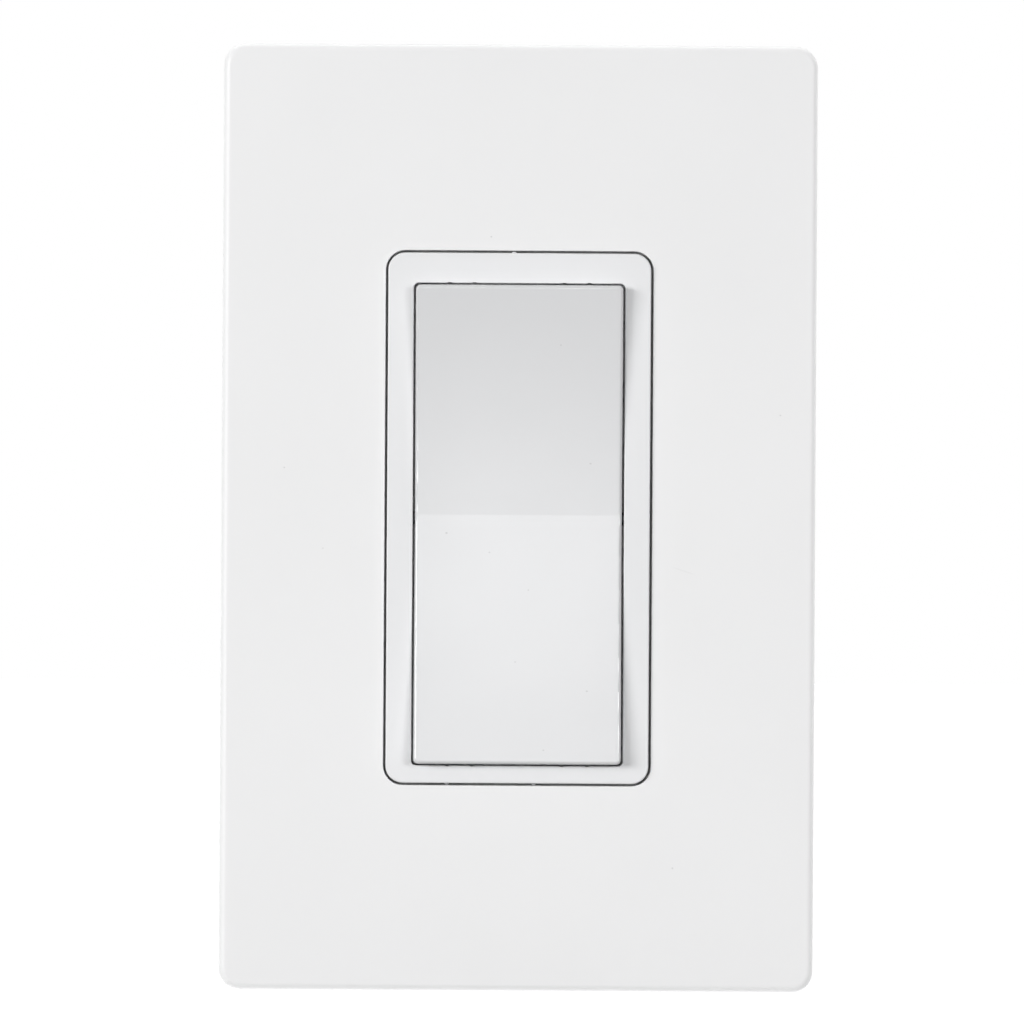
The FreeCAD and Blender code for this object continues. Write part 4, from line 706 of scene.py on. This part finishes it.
class WALLSWITCH_OT_screws(bpy.types.Operator):
    """Add the threaded case screws and module screws"""
    bl_idname = "wallswitch.screws"
    bl_label = "Screws"

    def execute(self, context):
        zinc = metal("screw_zinc", (0.66, 0.66, 0.64), 0.30, scale=700.0)
        for node, head, head_height, shank, arm in (
                ("case_screws", 3.5, 1.1, 1.8, 0.5), ("module_screws", 4.6, 1.6, 2.4, 0.65)):
            low, high = (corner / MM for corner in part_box(node))
            across, up = high.x - head / 2, high.z - head / 2
            screw = self.add_screw((across, low.y, up), head / 2, head_height, shank / 2,
                                   high.y - low.y - head_height, arm, context)
            copies = [screw, copy_of(screw, (-2 * across, 0, 0))]
            two_rows = up > 1
            if two_rows:
                copies += [copy_of(each, (0, 0, -2 * up)) for each in tuple(copies)]
            whole = settle(join(copies, f"threaded_{node}"), "base", zinc)
            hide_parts(node)
        return {"FINISHED"}

    def add_screw(self, front, head_radius, head_height, shank_radius, shank_length, arm, context):
        """One pan-head screw whose head's top is at the given place, in millimetres."""
        across, depth, up = front
        seat, root = depth + head_height, shank_radius * 0.72
        overlap, thread_start, plain_ends = 0.2, 0.5, 1.2
        head = add_rod("head", (across, depth + head_height / 2, up), head_radius, head_height, 40)
        bevel_edges(head, lambda one, other: max(one.y, other.y) < depth + 0.01, head_height * 0.45, 5)
        for width, height in ((head_radius, arm), (arm, head_radius)):
            cutter = add_block("cutter", (across - width / 2, depth - 1, up - height / 2),
                               (across + width / 2, depth + head_height * 0.55, up + height / 2))
            pick(cutter, "FACE", lambda centre, normal: normal.y > 0.9)
            bpy.ops.transform.resize(value=(0.7, 1, 0.7))
            leave()
            self.cut(head, cutter)
        core = add_rod("core", (across, seat + (shank_length - overlap) / 2, up), root, shank_length - overlap)
        bevel_edges(core, lambda one, other: min(one.y, other.y) > seat + shank_length - 0.31, root * 0.6, 3)
        thread = self.add_thread(across, up, seat + thread_start, shank_length - plain_ends,
                                 root, shank_radius, context)
        return join([head, core, thread], "screw")

    def cut(self, piece, cutter):
        """Cuts one piece out of another and removes the cutter."""
        only(piece)
        recess = piece.modifiers.new("recess", "BOOLEAN")
        recess.operation, recess.object, recess.solver = "DIFFERENCE", cutter, "EXACT"
        bpy.ops.object.modifier_apply(modifier="recess")
        bpy.data.objects.remove(cutter)

    def add_thread(self, across, up, start, length, root, crest, context):
        """A ridge wound along the shank: a triangular section swept by the Screw modifier and closed."""
        pitch = context.scene.wallswitch_details.thread_pitch / MM
        half_ridge, sunk, play = pitch * 0.34, 0.05, 0.02
        deselect()
        bpy.ops.mesh.primitive_circle_add(vertices=3, radius=MM, fill_type="NGON")
        thread = bpy.context.object
        corners = ((root - sunk, -half_ridge), (crest - play, 0), (root - sunk, half_ridge))
        for vertex, (out, along) in zip(thread.data.vertices, corners):
            vertex.co = (out * MM, 0, along * MM)
        wind = thread.modifiers.new("wind", "SCREW")
        wind.axis, wind.angle, wind.screw_offset = "Z", math.tau, -pitch * MM
        wind.iterations = max(2, int(length / pitch))
        wind.steps = wind.render_steps = 20
        wind.use_merge_vertices = True
        only(thread)
        bpy.ops.object.modifier_apply(modifier="wind")
        thread.location = (across * MM, start * MM, up * MM)
        thread.rotation_euler = OUTWARD
        bpy.ops.object.transform_apply(location=True, rotation=True, scale=True)
        bpy.ops.object.mode_set(mode="EDIT")
        bpy.ops.mesh.select_mode(type="EDGE")
        bpy.ops.mesh.select_all(action="DESELECT")
        bpy.ops.mesh.select_non_manifold()
        bpy.ops.mesh.fill()
        bpy.ops.mesh.select_all(action="SELECT")
        bpy.ops.mesh.normals_make_consistent(inside=False)
        leave()
        return thread


def finish_node(name, material):
    """Gives a CAD node its finish on every material slot."""
    piece = nodes[name]
    for slot in piece.material_slots:
        slot.material = material


def add_light_card(name, azimuth, elevation, width, height, brightness, distance):
    """A soft rectangular light seen from the switch in this direction and this size, all in degrees."""
    az, el = math.radians(azimuth), math.radians(elevation)
    aim = Vector((0, plate_face, 0))
    place = aim + distance * Vector((math.sin(az) * math.cos(el), -math.cos(az) * math.cos(el), math.sin(el)))
    across, up = (2 * distance * math.tan(math.radians(angle) / 2) for angle in (width, height))
    data = bpy.data.lights.new(name, "AREA")
    data.shape, data.size, data.size_y = "RECTANGLE", across, up
    data.energy = brightness * math.pi * across * up
    light = bpy.data.objects.new(name, data)
    bpy.context.scene.collection.objects.link(light)
    light.location = place
    light.rotation_euler = (aim - place).to_track_quat("-Z", "Y").to_euler()
    light.visible_camera = False


def add_node(tree, kind, **inputs):
    """A node with the named inputs set."""
    node = tree.nodes.new(kind)
    for name, value in inputs.items():
        node.inputs[name].default_value = value
    return node


def mix_shaders(tree, share, first, second):
    """One shader's output where the share is 0 and the other's where it is 1."""
    mix = tree.nodes.new("ShaderNodeMixShader")
    for socket, output in zip(mix.inputs, (share, first, second)):
        tree.links.new(output, socket)
    return mix.outputs[0]


def seen_share(tree):
    """1 for camera, glossy and transmission rays, which see plain white, and 0 for the light's own rays."""
    path = tree.nodes.new("ShaderNodeLightPath")
    seen = path.outputs["Is Camera Ray"]
    for name in ("Is Glossy Ray", "Is Transmission Ray"):
        either = tree.nodes.new("ShaderNodeMath")
        either.operation = "MAXIMUM"
        tree.links.new(seen, either.inputs[0])
        tree.links.new(path.outputs[name], either.inputs[1])
        seen = either.outputs[0]
    return seen


class WALLSWITCH_OT_stage(bpy.types.Operator):
    """Add the floor, the light and the camera"""
    bl_idname = "wallswitch.stage"
    bl_label = "Stage"

    def execute(self, context):
        scene, stage = context.scene, context.scene.wallswitch_stage
        scene.view_settings.view_transform = "Standard"
        self.light_world(scene, stage.ambient)
        self.add_floor()
        # Name, brightness, then azimuth, elevation, width and height in degrees
        for name, brightness, azimuth, elevation, width, height in (
                ("left", stage.left, -42, 8, 33, 16),
                ("right", stage.right, 32, 8, 18, 16),
                ("above", stage.above, 0, 52, 90, 40),
                ("front", stage.front, 0, 1, 4.5, 8),
                ("front_high", 0.9 * stage.front, 0, 7, 4.5, 4),
                ("front_top", 0.68 * stage.front, 0, 12, 4.5, 6),
                ("front_low", 0.84 * stage.front, 0, -4, 4.5, 2),
                ("front_lower", 0.58 * stage.front, 0, -6, 4.5, 2),
                ("front_dim", 0.36 * stage.front, 0, -8, 4.5, 2),
                ("front_faint", 0.18 * stage.front, 0, -10, 4.5, 2),
                ("rim_left", 0.12 * stage.rim, -108, 0, 30, 80),
                ("rim_right", 0.8 * stage.rim, 104, 0, 30, 80),
                ("rim_top", stage.rim, 0, 108, 80, 30),
                ("behind_left", stage.behind, -140, 25, 70, 70),
                ("behind_right", stage.behind, 140, 25, 70, 70)):
            add_light_card(name, azimuth, elevation, width, height, brightness, stage.light_distance)
        data = bpy.data.cameras.new("camera")
        data.sensor_width = 36.0
        data.lens = data.sensor_width / 2 * stage.distance / stage.half_view
        data.clip_start, data.clip_end = 0.01, 20.0
        camera = bpy.data.objects.new("camera", data)
        scene.collection.objects.link(camera)
        camera.location = (stage.aim_across, plate_face - stage.distance, stage.aim_up)
        camera.rotation_euler = (math.radians(90), stage.roll, 0)
        scene.camera = camera
        return {"FINISHED"}

    def light_world(self, scene, ambient):
        """Plain white to look at and in reflections, and only a weak even light on the switch."""
        scene.world = bpy.data.worlds.new("white_studio")
        tree, white = clear_tree(scene.world), (1.0, 1.0, 1.0, 1.0)
        output = tree.nodes.new("ShaderNodeOutputWorld")
        lit = add_node(tree, "ShaderNodeBackground", Color=white, Strength=ambient)
        plain = add_node(tree, "ShaderNodeBackground", Color=white)
        light = mix_shaders(tree, seen_share(tree), lit.outputs[0], plain.outputs[0])
        tree.links.new(light, output.inputs["Surface"])

    def add_floor(self):
        """A white floor that shows a faint shadow and lights the plate's lower rim from behind its face."""
        side, middle, below = 1.8, 0.74, 0.3 * MM
        deselect()
        bpy.ops.mesh.primitive_plane_add(size=side, location=(0, middle, cad_low.z - below))
        floor = bpy.context.object
        floor.name = "floor"
        bpy.ops.object.transform_apply(location=True, rotation=True, scale=True)
        material = bpy.data.materials.new("floor_white")
        tree = clear_tree(material)
        output = tree.nodes.new("ShaderNodeOutputMaterial")
        paper = add_node(tree, "ShaderNodeBsdfDiffuse", Color=(0.22, 0.22, 0.22, 1.0))
        glow = add_node(tree, "ShaderNodeEmission", Strength=1.45)
        place, axes = tree.nodes.new("ShaderNodeTexCoord"), tree.nodes.new("ShaderNodeSeparateXYZ")
        tree.links.new(place.outputs["Object"], axes.inputs[0])
        behind_face = tree.nodes.new("ShaderNodeMath")
        behind_face.operation = "GREATER_THAN"
        behind_face.inputs[1].default_value = plate_face
        tree.links.new(axes.outputs["Y"], behind_face.inputs[0])
        unseen = mix_shaders(tree, behind_face.outputs[0], paper.outputs[0], glow.outputs[0])
        bright = add_node(tree, "ShaderNodeEmission", Strength=0.985)
        pale = add_node(tree, "ShaderNodeBsdfDiffuse", Color=(0.12, 0.12, 0.12, 1.0))
        shown = tree.nodes.new("ShaderNodeAddShader")
        tree.links.new(pale.outputs[0], shown.inputs[0])
        tree.links.new(bright.outputs[0], shown.inputs[1])
        surface = mix_shaders(tree, seen_share(tree), unseen, shown.outputs[0])
        tree.links.new(surface, output.inputs["Surface"])
        floor.data.materials.append(material)


class WALLSWITCH_PT_panel(bpy.types.Panel):
    """The settings and the steps, in the sidebar"""
    bl_idname = "WALLSWITCH_PT_panel"
    bl_label = "Wall Switch"
    bl_space_type = "VIEW_3D"
    bl_region_type = "UI"
    bl_category = "Wall Switch"

    def draw(self, context):
        layout = self.layout
        for settings in (context.scene.wallswitch_plastic, context.scene.wallswitch_details,
                         context.scene.wallswitch_stage):
            column = layout.column()
            for name in settings.__annotations__:
                column.prop(settings, name)
        for operator in OPERATORS:
            layout.operator(operator.bl_idname)


OPERATORS = (
    WALLSWITCH_OT_stage, WALLSWITCH_OT_white_parts, WALLSWITCH_OT_back_parts, WALLSWITCH_OT_metal_parts,
    WALLSWITCH_OT_board_parts, WALLSWITCH_OT_centring_nibs, WALLSWITCH_OT_foam_pads, WALLSWITCH_OT_return_springs,
    WALLSWITCH_OT_solder, WALLSWITCH_OT_screws)
CLASSES = (PlasticSettings, StageSettings, DetailSettings, *OPERATORS, WALLSWITCH_PT_panel)


def register():
    for item in CLASSES:
        bpy.utils.register_class(item)
    bpy.types.Scene.wallswitch_plastic = PointerProperty(type=PlasticSettings)
    bpy.types.Scene.wallswitch_stage = PointerProperty(type=StageSettings)
    bpy.types.Scene.wallswitch_details = PointerProperty(type=DetailSettings)


def unregister():
    del bpy.types.Scene.wallswitch_details
    del bpy.types.Scene.wallswitch_stage
    del bpy.types.Scene.wallswitch_plastic
    for item in reversed(CLASSES):
        bpy.utils.unregister_class(item)


def main():
    register()
    bpy.ops.wallswitch.stage()
    bpy.ops.wallswitch.white_parts()
    bpy.ops.wallswitch.back_parts()
    bpy.ops.wallswitch.metal_parts()
    bpy.ops.wallswitch.board_parts()
    bpy.ops.wallswitch.centring_nibs()
    bpy.ops.wallswitch.foam_pads()
    bpy.ops.wallswitch.return_springs()
    bpy.ops.wallswitch.solder()
    bpy.ops.wallswitch.screws()


if __name__ == "__main__":
    main()
